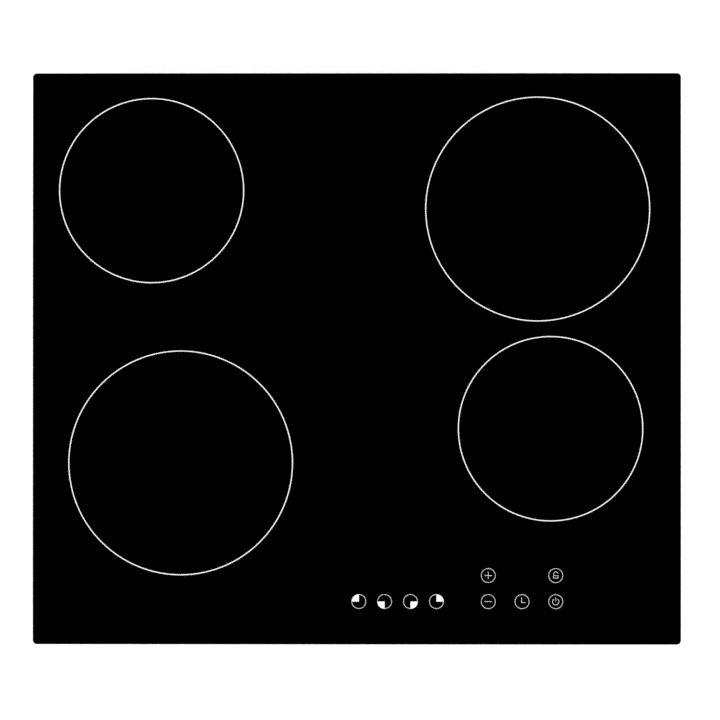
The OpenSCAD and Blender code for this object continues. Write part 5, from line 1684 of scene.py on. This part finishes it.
def leaded_chip(b, x, y, z, L, W, H, pins, M, mat=6, tin=2):
    box_to(b, x - L / 2, y - W / 2, z + 0.25, x + L / 2, y + W / 2, z + H, 0.18, 2, mat, M)
    lathe_to(b, [(0.001, z + H + 0.01), (0.45, z + H + 0.01), (0.45, z + H - 0.05)], 16, tin, M @ Matrix.Translation((x - L / 2 + 1.2, y - W / 2 + 1.2, 0)))
    for k in range(pins):
        px = x - L / 2 + (k + 0.5) * L / pins
        for s in (-1, 1):
            ya, yb = sorted((y + s * (W / 2 - 0.1), y + s * (W / 2 + 0.5)))
            box_to(b, px - 0.22, ya, z + H * 0.45, px + 0.22, yb, z + H * 0.45 + 0.18, 0.04, 1, tin, M)
            ya, yb = sorted((y + s * (W / 2 + 0.35), y + s * (W / 2 + 0.53)))
            box_to(b, px - 0.22, ya, z + 0.05, px + 0.22, yb, z + H * 0.45 + 0.1, 0.04, 1, tin, M)
            ya, yb = sorted((y + s * (W / 2 + 0.35), y + s * (W / 2 + 1.1)))
            box_to(b, px - 0.22, ya, z, px + 0.22, yb, z + 0.18, 0.04, 1, tin, M)


def make_board(side):
    M = Matrix.Identity(4) if side == "left" else MIRROR_X
    rnd = random.Random(11 if side == "left" else 12)
    b = Build()
    z1 = 13.6
    board_plate(b, rrect_o(192, 222, 3, -150, -35, 6), [circ(x, y, 2.1, 24) for x, y in BOARD_SCREWS], 12.0, z1, M)
    # screw terminals and studs
    for x, y in ((-128, 60), (-116, 60), (-116, 0), (-104, 0)):
        box_to(b, x - 4.5, y - 5, z1, x + 4.5, y + 5, z1 + 8.4, 0.5, 2, 3, M)
        lathe_to(b, [(3.9, 21.9), (3.9, 22.6), (3.6, 22.8), (3.0, 22.8), (3.0, 25.7), (2.8, 26.0), (0, 26.0)], 32, 2, M @ Matrix.Translation((x, y, 0)))
        for dx in (-2.5, 2.5):
            solder(b, x + dx, y, 12.0, 1.7, True, 2, M)
    # electrolytic capacitors: sleeve with a rolled neck, vented aluminium top
    for x, y in ((-72, -96), (-96, -96)):
        Q = M @ Matrix.Translation((x, y, 0))
        lathe_to(b, [(0, z1), (9.6, z1), (10.0, z1 + 0.4), (10.0, z1 + 2.0), (9.5, z1 + 2.6), (9.5, z1 + 3.2), (10.0, z1 + 3.8), (10.0, z1 + 19.2), (9.85, z1 + 19.75), (9.3, z1 + 20.0), (8.5, z1 + 20.0), (8.5, z1 + 19.7), (0, z1 + 19.7)], 56, 4, Q)
        lathe_to(b, [(0, z1 + 19.6), (8.45, z1 + 19.6), (8.45, z1 + 19.85), (8.2, z1 + 19.95), (0, z1 + 19.9)], 40, 2, Q)
        for a in (30, 150, 270):
            box_to(b, 0.4, -0.22, z1 + 19.86, 7.2, 0.22, z1 + 20.0, 0.05, 1, 4, Q @ Matrix.Rotation(math.radians(a), 4, "Z"))
        for dx in (-5, 5):
            solder(b, x + dx, y, 12.0, 1.9, True, 2, M)
    # relays
    for x, y in ((-74, 40), (-74, 20)):
        box_to(b, x - 14, y - 8, z1, x + 14, y + 8, z1 + 15, 0.7, 3, 5, M)
        box_to(b, x - 14.0, y - 8.0, z1 + 1.0, x + 14.0, y + 8.0, z1 + 1.5, 0.05, 1, 6, M)
        for dx in (-11, -6, 6, 11):
            solder(b, x + dx, y + 4, 12.0, 1.4, True, 2, M)
            solder(b, x + dx, y - 4, 12.0, 1.4, True, 2, M)
    # auxiliary transformer: two core halves, taped winding, coil former with pins
    x0, y0 = -118, -132
    box_to(b, x0, y0, z1, x0 + 30, y0 + 26, z1 + 2.2, 0.4, 2, 3, M)
    box_to(b, x0 + 1, y0 + 6, z1 + 2.2, x0 + 29, y0 + 20, z1 + 18, 0.6, 2, 8, M)
    box_to(b, x0 + 5.5, y0 + 1, z1 + 2.4, x0 + 24.5, y0 + 25, z1 + 15.5, 2.2, 4, 9, M)
    for k in range(5):
        for yy in (y0 + 1.4, y0 + 24.6):
            solder(b, x0 + 5 + 5 * k, yy, 12.0, 1.2, True, 2, M)
    # plug headers, two rows of contacts
    for x, y, w, d, h in ((-225, -90, 16, 8, 9), (-225, -112, 16, 8, 9), (-100, 70, 16, 8, 9), (-80, -132, 16, 8, 9), (-132, 43, 8, 6, 7), (-129, -8, 8, 6, 7)):
        outer, inner = rrect_o(w, d, 0.5, x, y, 3), rrect_o(w - 1.8, d - 1.8, 0.3, x, y, 3)
        plate(b, outer, [inner], z1 + 1.4, z1 + h, 0.15, 3, M)
        prism(b, outer, z1, z1 + 1.5, 0.12, 3, M)
        k = int(w / 2.5) - 1
        for i in range(k):
            px = x + (i - (k - 1) / 2) * 2.5
            box_to(b, px - 0.32, y - 0.32, z1 + 1.2, px + 0.32, y + 0.32, z1 + h - 1.6, 0.12, 1, 2, M)
            solder(b, px, y, 12.0, 0.95, True, 2, M)
    # controller chips and small parts
    leaded_chip(b, -100, -24, z1, 12.5, 9.6, 2.0, 8, M)
    leaded_chip(b, -226, -70, z1, 12.5, 9.6, 2.0, 8, M)
    chip_parts(b, rnd, -242, -63, -207, -44, z1, 24, M)
    chip_parts(b, rnd, -242, -84, -208, -79, z1, 8, M)
    chip_parts(b, rnd, -136, 8, -92, 24, z1, 30, M)
    chip_parts(b, rnd, -112, -46, -90, -34, z1, 12, M)
    chip_parts(b, rnd, -68, -62, -57, -6, z1, 24, M)
    chip_parts(b, rnd, -242, -140, -210, -120, z1, 20, M)
    chip_parts(b, rnd, -130, -134, -121, -96, z1, 14, M)
    mats = [M_PCB, M_FR4, M_TIN, M_PLUG, M_ELCO, M_RELAY, M_CHIP, M_SMD, M_FERRITE, M_TAPE]
    piece(b.obj("power_board_assembly_" + side, mats, 32, True), "hob", "circuit_board", "power_board_" + side)

    # finned heatsink: one extruded profile
    prof = [(-200.0, 13.6), (-145.0, 13.6)]
    for k in range(10, -1, -1):
        xl = -200 + k * 5.36
        xr = xl + 1.4
        if k < 10:
            prof += [(xr + 0.35, 17.6), (xr + 0.1, 17.72), (xr, 18.0)]
        prof += [(xr, 32.75), (xr - 0.25, 33.0), (xl + 0.25, 33.0), (xl, 32.75)]
        if k > 0:
            prof += [(xl, 18.0), (xl - 0.1, 17.72), (xl - 0.35, 17.6)]
    h = Build()
    plate(h, poly_o(prof), [], -115.0, 70.0, 0.08, 0, M @ ALONG_Y)
    piece(h.obj("finned_heatsink_" + side, [M_SINK], 32, True), "hob", "heatsink_aluminium", "heatsink_" + side)
    dress("board_tray_" + side, M_TRAY_PL, 0.25, 2)


def make_power_parts():
    t, c, k = Build(), Build(), Build()
    for M in (Matrix.Identity(4), MIRROR_X):
        for y in (50, 22, -6, -34, -74):
            out = [(-8, 14.8), (8, 14.8), (8, 29.6), (7.4, 29.9), (7.4, 31.2), (8, 31.5), (8, 34.4), (7.6, 34.8), (-7.6, 34.8), (-8, 34.4), (-8, 31.5), (-7.4, 31.2), (-7.4, 29.9), (-8, 29.6)]
            Q = M @ Matrix.Translation((0, y, 0)) @ ALONG_X
            plate(t, poly_o(out), [circ(0, 30.4, 1.8, 24)], -144.2, -140.05, 0.22, 0, Q)
            plate(t, poly_o([(-7.0, 16.0), (7.0, 16.0), (7.0, 33.6), (-7.0, 33.6)]), [circ(0, 30.4, 1.8, 24)], -145.0, -144.1, 0.06, 1, Q)
            for j in (-1, 0, 1):
                x = -142.6
                box_to(t, x - 0.35, y + j * 5.4 - 0.95, 13.9, x + 0.35, y + j * 5.4 + 0.95, 15.0, 0.08, 1, 1, M)
                box_to(t, x - 0.3, y + j * 5.4 - 0.55, 12.2, x + 0.3, y + j * 5.4 + 0.55, 14.0, 0.08, 1, 1, M)
            lathe_to(t, [(0, -138.5), (1.4, -138.5), (2.5, -138.8), (2.8, -139.4), (2.8, -140.0), (1.5, -140.0), (1.5, -144.5), (0, -144.5)], 28, 2, M @ Matrix.Translation((0, y, 30.4)) @ ALONG_X)
        for x, y, w, d, h in ((-225, 44, 30, 26, 20), (-225, 8, 30, 26, 20), (-225, -28, 30, 26, 20), (-82, -64, 22, 18, 21), (-110, -64, 22, 18, 21)):
            z1 = 13.6
            box_to(c, x - w / 2, y - d / 2, z1 + 0.3, x + w / 2, y + d / 2, z1 + h, 1.3, 4, 0, M)
            box_to(c, x - w / 2 + 1, y - d / 2 + 1, z1, x + w / 2 - 1, y + d / 2 - 1, z1 + 0.9, 0.2, 1, 1, M)
            # moulded step round the lid
            plate(c, rrect_o(w - 3, d - 3, 1.2, x, y, 4), [rrect_o(w - 4.4, d - 4.4, 0.8, x, y, 4)], z1 + h - 0.1, z1 + h + 0.18, 0.08, 0, M)
        for x, y in ((-78, -20), (-122, -30)):
            Q = M @ Matrix.Translation((x, y, 19.6))
            ring = [(9.5 + (5.0 if abs(math.cos(a)) > 0 else 0) * _sq(math.cos(a)), 5.0 * _sq(math.sin(a))) for a in [TAU * i / 28 for i in range(28)]]
            lathe_to(k, ring, 64, 1, Q, True)
            turns, seg = 19, 26
            P = []
            for i in range(turns * seg + 1):
                u = i / seg
                th = math.radians(15 + 330 * u / turns)
                ph = TAU * u
                rr = 9.5 + 5.45 * _sq(math.cos(ph))
                P.append(Vector((rr * math.cos(th), rr * math.sin(th), 5.45 * _sq(math.sin(ph)))))
            P = [Vector((P[0].x, P[0].y, -7.4))] + P + [Vector((P[-1].x, P[-1].y, -7.4))]
            tube_to(k, P, 0.52, 7, 0, Q)
    piece(t.obj("power_transistor_set", [M_CHIP, M_TIN, M_SCREW], 32, True), "hob", "chip_plastic", "power_transistors")
    piece(c.obj("film_capacitor_set", [M_CAP, M_POTTING], 35), "hob", "capacitor_plastic", "film_capacitors")
    piece(k.obj("toroid_choke_set", [M_ENAMEL, M_FERRITE], 50, False, False), "hob", "choke_copper", "choke_coils")


def _sq(v):
    """Squarer than round: the section of a toroid core."""
    return math.copysign(abs(v) ** 0.72, v)


# ------------------------------------------------------------------ fans
def make_fans():
    for side, s in (("left", -1), ("right", 1)):
        C = Matrix.Translation((s * 150, 150, 0))
        F = C if s < 0 else C @ MIRROR_X
        b = Build()
        lathe_to(b, [(0, 13.0), (15.6, 13.0), (16.6, 13.4), (17.0, 14.4), (17.0, 27.2), (17.4, 27.8), (18.2, 28.0), (41.8, 28.0), (42.0, 28.2), (42.0, 29.3), (41.8, 29.5), (15.5, 29.5), (15.2, 29.2),
                     (15.2, 15.0), (14.7, 14.5), (3.2, 14.5), (2.6, 15.2), (2.6, 16.4), (2.3, 16.6), (1.5, 16.6), (1.5, 14.4), (0, 14.4)], 96, 0, F)
        lathe_to(b, [(38.6, 10.8), (41.8, 10.8), (42.0, 11.0), (42.0, 12.0), (41.8, 12.2), (38.7, 12.2), (38.5, 12.0), (38.5, 10.95)], 96, 0, F, True)
        for k in range(28):
            mid = []
            for i in range(9):
                t = i / 8
                r = 32.0 + 9.3 * t
                a = 0.16 * t + 0.12 * t * t - 0.05 * math.sin(math.pi * t)
                mid.append(Vector((r * math.cos(a), r * math.sin(a))))
            left, right = [], []
            for i, p in enumerate(mid):
                d = (mid[min(i + 1, 8)] - mid[max(i - 1, 0)]).normalized()
                nrm = Vector((-d.y, d.x))
                w = 0.28 + 0.30 * math.sin(math.pi * (0.12 + 0.80 * i / 8))
                left.append(p + nrm * w)
                right.append(p - nrm * w)
            out = [tuple(p) for p in right] + [tuple(p) for p in left[::-1]]
            v, f = loft([[(x, y, z) for x, y in out] for z in (11.6, 28.2)])
            b.add(v, f, 0, F @ Matrix.Rotation(TAU * k / 28, 4, "Z"))
        # turned shaft, and a pressed washer on the hub's nose
        lathe_to(b, [(0, 14.2), (1.5, 14.2), (1.5, 27.2), (1.2, 27.5), (0, 27.5)], 28, 1, F)
        lathe_to(b, [(2.2, 12.75), (4.6, 12.75), (4.8, 12.9), (4.8, 13.1), (2.0, 13.1), (2.0, 12.9)], 40, 1, F, True)
        piece(b.obj("radial_impeller_" + side, [M_FAN, M_POST], 35), "fan_" + side, "fan_plastic", "fan_rotor_" + side)



# ------------------------------------------------------------------ touch controls
def make_controls():
    dress("control_holder", M_HOLDER, 0.25, 2)
    rnd = random.Random(5)
    I = Matrix.Identity(4)
    b = Build()
    cx, cy = 91.5, -204.5
    board_plate(b, rrect_o(222.6, 48.6, 1.5, cx, cy, 4), [circ(x, y, 1.6, 16) for x in (-14 + 4, 197 - 4) for y in (-223 + 1, -186 - 1)], 46.0, 47.6, I)
    # ring pads that the contact springs stand on
    for x, y in KEYS:
        plate(b, circ(x, y, 4.4, 32), [circ(x, y, 2.4, 24)], 47.55, 47.68, 0.02, 2, I)
    # connector and processor on the underside
    DN = Matrix.Translation((0, 0, 46.0)) @ Matrix.Scale(-1, 4, (0, 0, 1))
    box_to(b, 52, -189, 43.5, 68, -183, 46.05, 0.3, 2, 3, I)
    for k in range(6):
        box_to(b, 54.2 + 2.2 * k, -189.6, 45.2, 55.0 + 2.2 * k, -188.9, 46.0, 0.1, 1, 2, I)
    leaded_chip(b, 106, -206, 0.0, 11, 9.4, 1.9, 9, DN)
    for x0, y0, x1, y1, n in ((-14, -222, 30, -210, 26), (36, -214, 92, -196, 40), (124, -224, 170, -206, 30), (168, -204, 196, -190, 16), (-14, -204, 40, -190, 30)):
        chip_parts(b, rnd, x0, y0, x1, y1, 0.0, n, DN)
    for x0, y0, x1, y1, n in ((86, -214, 110, -190, 24), (132, -190, 172, -184, 8), (84, -228, 112, -222, 5)):
        chip_parts(b, rnd, x0, y0, x1, y1, 47.6, n, I)
    mats = [M_PCB, M_FR4, M_TIN, M_PLUG, M_ELCO, M_RELAY, M_CHIP, M_SMD]
    piece(b.obj("touch_control_board", mats, 32, True), "hob", "circuit_board", "control_board")
    t = Build()
    for x, y in KEYS:
        P = [q + Vector((x, y, 0)) for q in helix(3.4, 0.4, 47.66, 55.98, 4.6)]
        tube_to(t, P, 0.4, 10)
    piece(t.obj("touch_contact_springs", [M_CONTACT], 50, False, False), "hob", "contact_spring", "touch_springs")
    d = Build()
    for x, w in [(KX[k], 10.0) for k in range(4)] + [(KX[5], 20.0)]:
        y0 = KY[1] - 6.5
        body = rrect_o(w, 14, 0.6, x, y0 + 7, 3)
        wins = [rrect_o(4.6, 9.6, 0.5, x + dx, y0 + 7, 3) for dx in ((0.0,) if w < 15 else (-4.6, 4.6))]
        prism(d, body, 47.6, 54.2, 0.2, 0)
        plate(d, body, wins, 54.0, 55.2, 0.15, 0)
        for q in wins:
            prism(d, lambda g=0.0, q=q: q(g - 0.02), 54.15, 55.0, 0.08, 1)
    piece(d.obj("light_module_set", [M_CHIP, M_DIFFUSER], 32, True), "hob", "chip_plastic", "display_modules")
    # ribbon cable with its cores
    r = Build()
    P = cr([(60, -186, 43.4), (60, -186, 41), (60, -184, 38.9), (60, -175, 38.5), (60, -165.5, 38.5), (60, -161.5, 36.8), (60.5, -160, 33.6), (63, -155, 31.4), (72, -146, 31), (79, -137, 31), (80, -132.4, 29), (80, -132, 26)], 8)
    n, pitch = 11, 1.25
    sec = []
    for c in range(n):
        for a in (-62, -31, 0, 31, 62):
            sec.append((0.17 + 0.23 * math.cos(math.radians(a)) / 1.0, -n * pitch / 2 + pitch * (c + 0.5) + 0.6 * math.sin(math.radians(a))))
    for c in range(n - 1, -1, -1):
        for a in (62, 31, 0, -31, -62):
            sec.append((-0.17 - 0.23 * math.cos(math.radians(a)) / 1.0, -n * pitch / 2 + pitch * (c + 0.5) + 0.6 * math.sin(math.radians(a))))
    tube_to(r, P, 0, 0, 0, None, (0, 1, 0), sec)
    box_to(r, 72, -136, 22.6, 88, -128, 27, 0.4, 2, 1)
    box_to(r, 71.4, -133.4, 25.2, 88.6, -130.6, 26.4, 0.3, 2, 1)
    for k in range(6):
        box_to(r, 73.6 + 2.35 * k, -136.3, 23.2, 74.6 + 2.35 * k, -135.7, 25.6, 0.12, 1, 2)
    piece(r.obj("control_ribbon_cable", [M_RIBBON, M_PLUG, M_CHIP], 50, False, False), "hob", "ribbon_grey", "ribbon_cable")


# ------------------------------------------------------------------ mains connection
def make_mains():
    dress("terminal_box", M_BOX_PL, 0.3, 2)
    b = Build()
    poles = (-27.5, -16.5, -5.5, 5.5, 16.5, 27.5)
    box_to(b, -33, 175, 20.2, 33, 193, 32.2, 0.5, 2)
    o = b.obj("terminal_block_body", [M_TERM_PL, M_BRASS], 32)
    c = Build()
    for x in poles:
        lathe_to(c, [(3.4, 14.0), (3.4, 20.6), (3.1, 20.9), (3.1, 24.6)], 28, M=Matrix.Translation((x, 184, 0)))
        for y0, y1 in ((190.2, 194.5), (173.5, 177.8)):
            pr = [(2.9, 173.5), (2.9, 175.4), (2.5, 176.0), (2.5, 177.8)] if y0 < 180 else [(2.5, 190.2), (2.5, 192.0), (2.9, 192.6), (2.9, 194.5)]
            lathe_to(c, pr, 28, M=Matrix.Translation((x, 0, 26.2)) @ ALONG_Y)
    for x in (-22, -11, 0, 11, 22):
        for y0, y1 in ((174, 176.1), (191.9, 194)):
            box_to(c, x - 0.9, y0, 19.0, x + 0.9, y1, 33.5, 0.05, 1)
    carve(o, c)
    o.data.set_sharp_from_angle(angle=math.radians(35))
    piece(o, "hob", "terminal_plastic", "terminal_block")
    s = Build()
    for i, x in enumerate(poles):
        q = Matrix.Translation((x, 184, 0)) @ Matrix.Rotation(0.4 + 0.9 * i, 4, "Z")
        # cheese-head screw facing down, slotted, with a square clamp behind it
        lathe_to(s, [(2.7, 24.3), (2.7, 22.0), (2.45, 21.6), (0.42, 21.6), (0.42, 22.3), (0, 22.3)], 28, 0, q)
        box_to(s, -2.3, -0.3, 21.52, -0.5, 0.3, 21.7, 0.05, 1, 1, q)
        box_to(s, 0.5, -0.3, 21.52, 2.3, 0.3, 21.7, 0.05, 1, 1, q)
        box_to(s, x - 3.4, 177.9, 23.9, x + 3.4, 190.1, 28.6, 0.4, 2, 0)
    piece(s.obj("terminal_clamp_screws", [M_BRASS, M_WBLACK], 32), "hob", "terminal_plastic", "terminal_block")

    w = Build()
    cols = {1: (0, 1, 2), -1: (0, 1, 2)}
    for sd in (-1, 1):
        for j in range(3):
            x = sd * (5.5 + 11 * j)
            P = cr([(x, 180.5, 26.2), (x, 171, 26.2), (x + sd * 2, 158, 25.5), (sd * (32 + j * 5), 138, 24), (sd * (40 + j * 6), 112, 25),
                    (sd * (52 + j * 7), 84, 30), (sd * (63 + j * 8), 58, 32), (sd * (66 + j * 8), 48, 31.4), (sd * (66 + j * 8), 41, 31.4)], 9)
            tube_to(w, P[4:-3], 1.5, 12, j)
            tube_to(w, P[:6], 1.0, 10, 4)
            X = sd * (66 + j * 8)
            box_to(w, X - 2.2, 37, 28.6, X + 2.2, 45, 33.6, 0.5, 2, 3)
            box_to(w, X - 1.5, 44.6, 29.6, X + 1.5, 47.2, 32.8, 0.6, 2, 3)
        P = cr([(sd * 100.4, 140, 24), (sd * 98.5, 137, 24), (sd * 97, 128, 24), (sd * 97, 108, 24.6), (sd * 99, 88, 25.2), (sd * 100, 78, 25.2), (sd * 100, 72, 25.2)], 12)
        pair(w, P, 0.6, 0.58, 14.0, (5, 2))
        box_to(w, sd * 100 - 7, 66.5, 22.6, sd * 100 + 7, 73.5, 27.6, 0.35, 2, 3)
        for k in range(4):
            X = sd * 100 - 4.2 + 2.8 * k
            box_to(w, X - 0.6, 73.2, 23.6, X + 0.6, 73.8, 26.0, 0.12, 1, 2)
        # points where clips on the three wires would sit; no clip is drawn
        for t in (0.36, 0.62):
            pts = []
            for j in range(3):
                x = sd * (5.5 + 11 * j)
                Q = cr([(x, 180.5, 26.2), (x, 171, 26.2), (x + sd * 2, 158, 25.5), (sd * (32 + j * 5), 138, 24), (sd * (40 + j * 6), 112, 25),
                        (sd * (52 + j * 7), 84, 30), (sd * (63 + j * 8), 58, 32), (sd * (66 + j * 8), 48, 31.4), (sd * (66 + j * 8), 41, 31.4)], 9)
                pts.append(Q[int(t * (len(Q) - 1))])
    return piece(w.obj("mains_and_fan_wiring", [M_BROWN, M_BLUE, M_WBLACK, M_PLUG, M_TIN, M_RED], 50, False, False), "hob", "wire_brown", "wiring_harness")


make_board("left")
make_board("right")
make_power_parts()
make_fans()
make_controls()
make_mains()



# ------------------------------------------------------------------ fan housings
def make_fan_housings():
    """Scroll housing: roof, floor with its inlet, scroll wall, screwed ears, motor stator under the roof."""
    z0, z1 = 6.8, 33.5
    for side, s in (("left", -1), ("right", 1)):
        C = Matrix.Translation((s * 150, 150, 0))
        F = C if s < 0 else C @ MIRROR_X
        b = Build()
        e0 = -math.degrees(math.acos(5 / 50.0))
        e1 = -math.degrees(math.acos(3 / 48.0))
        outer = [(50 * math.cos(math.radians(e0 + (180 - e0) * i / 96)), 50 * math.sin(math.radians(e0 + (180 - e0) * i / 96))) for i in range(97)]
        inner = [(48 * math.cos(math.radians(180 + (e1 - 180) * i / 96)), 48 * math.sin(math.radians(180 + (e1 - 180) * i / 96))) for i in range(97)]
        scroll = [(5.0, -66.0)] + outer + [(-50.0, -66.0)]
        prism(b, poly_o(scroll), z1 - 1.5, z1, 0.45, 0, F, 3)
        plate(b, poly_o(scroll), [circ(0, 0, 31.0, 96)], z0, z0 + 1.5, 0.25, 0, F)
        plate(b, poly_o([(5.0, -65.95)] + outer + [(-50.0, -65.95), (-48.0, -65.95)] + inner + [(3.0, -65.95)]), [], z0 + 1.2, z1 - 1.2, 0.02, 0, F)
        # bell-mouthed lip round the inlet, and the seam where the two halves snap together
        lathe_to(b, [(31.0, z0 + 1.2), (31.0, z0 + 2.3), (31.4, z0 + 2.6), (32.2, z0 + 2.6), (32.6, z0 + 2.2), (32.6, z0 + 1.2)], 96, 0, F, True)
        for a in (15, 90, 160):
            Q = F @ Matrix.Rotation(math.radians(a), 4, "Z")
            box_to(b, 49.3, -3.0, z1 - 7.0, 50.35, 3.0, z1 - 1.2, 0.2, 1, 0, Q)
            box_to(b, 50.0, -2.2, z1 - 7.4, 50.7, 2.2, z1 - 5.6, 0.25, 1, 0, Q)
        # stator: moulded carrier, coil bundle and bearing tube
        lathe_to(b, [(1.55, 17.2), (1.75, 17.0), (4.4, 17.0), (4.6, 17.2), (4.6, 18.4), (12.4, 18.4), (13.0, 19.0), (13.0, 21.0), (12.7, 21.2), (12.7, 28.6), (13.0, 28.8), (13.0, 32.3), (1.55, 32.3)], 72, 0, F, True)
        for k in range(6):
            Q = F @ Matrix.Rotation(math.radians(60 * k), 4, "Z")
            box_to(b, 11.0, -3.6, 21.6, 12.98, 3.6, 28.2, 0.5, 2, 1, Q)
        for a in (45, 135, -45):
            Q = F @ Matrix.Rotation(math.radians(a), 4, "Z")
            ear = [(49.0, -5.0)] + [(55 + 5 * math.cos(t), 5 * math.sin(t)) for t in [math.radians(-90 + 180 * i / 24) for i in range(25)]] + [(49.0, 5.0)]
            plate(b, poly_o(ear), [circ(55, 0, 2.0, 28)], z0, z0 + 4, 0.3, 0, Q)
        piece(b.obj("fan_scroll_housing_" + side, [M_FAN, M_ENAMEL], 32, True), "hob", "fan_plastic", "fan_housing_" + side)


make_fan_housings()
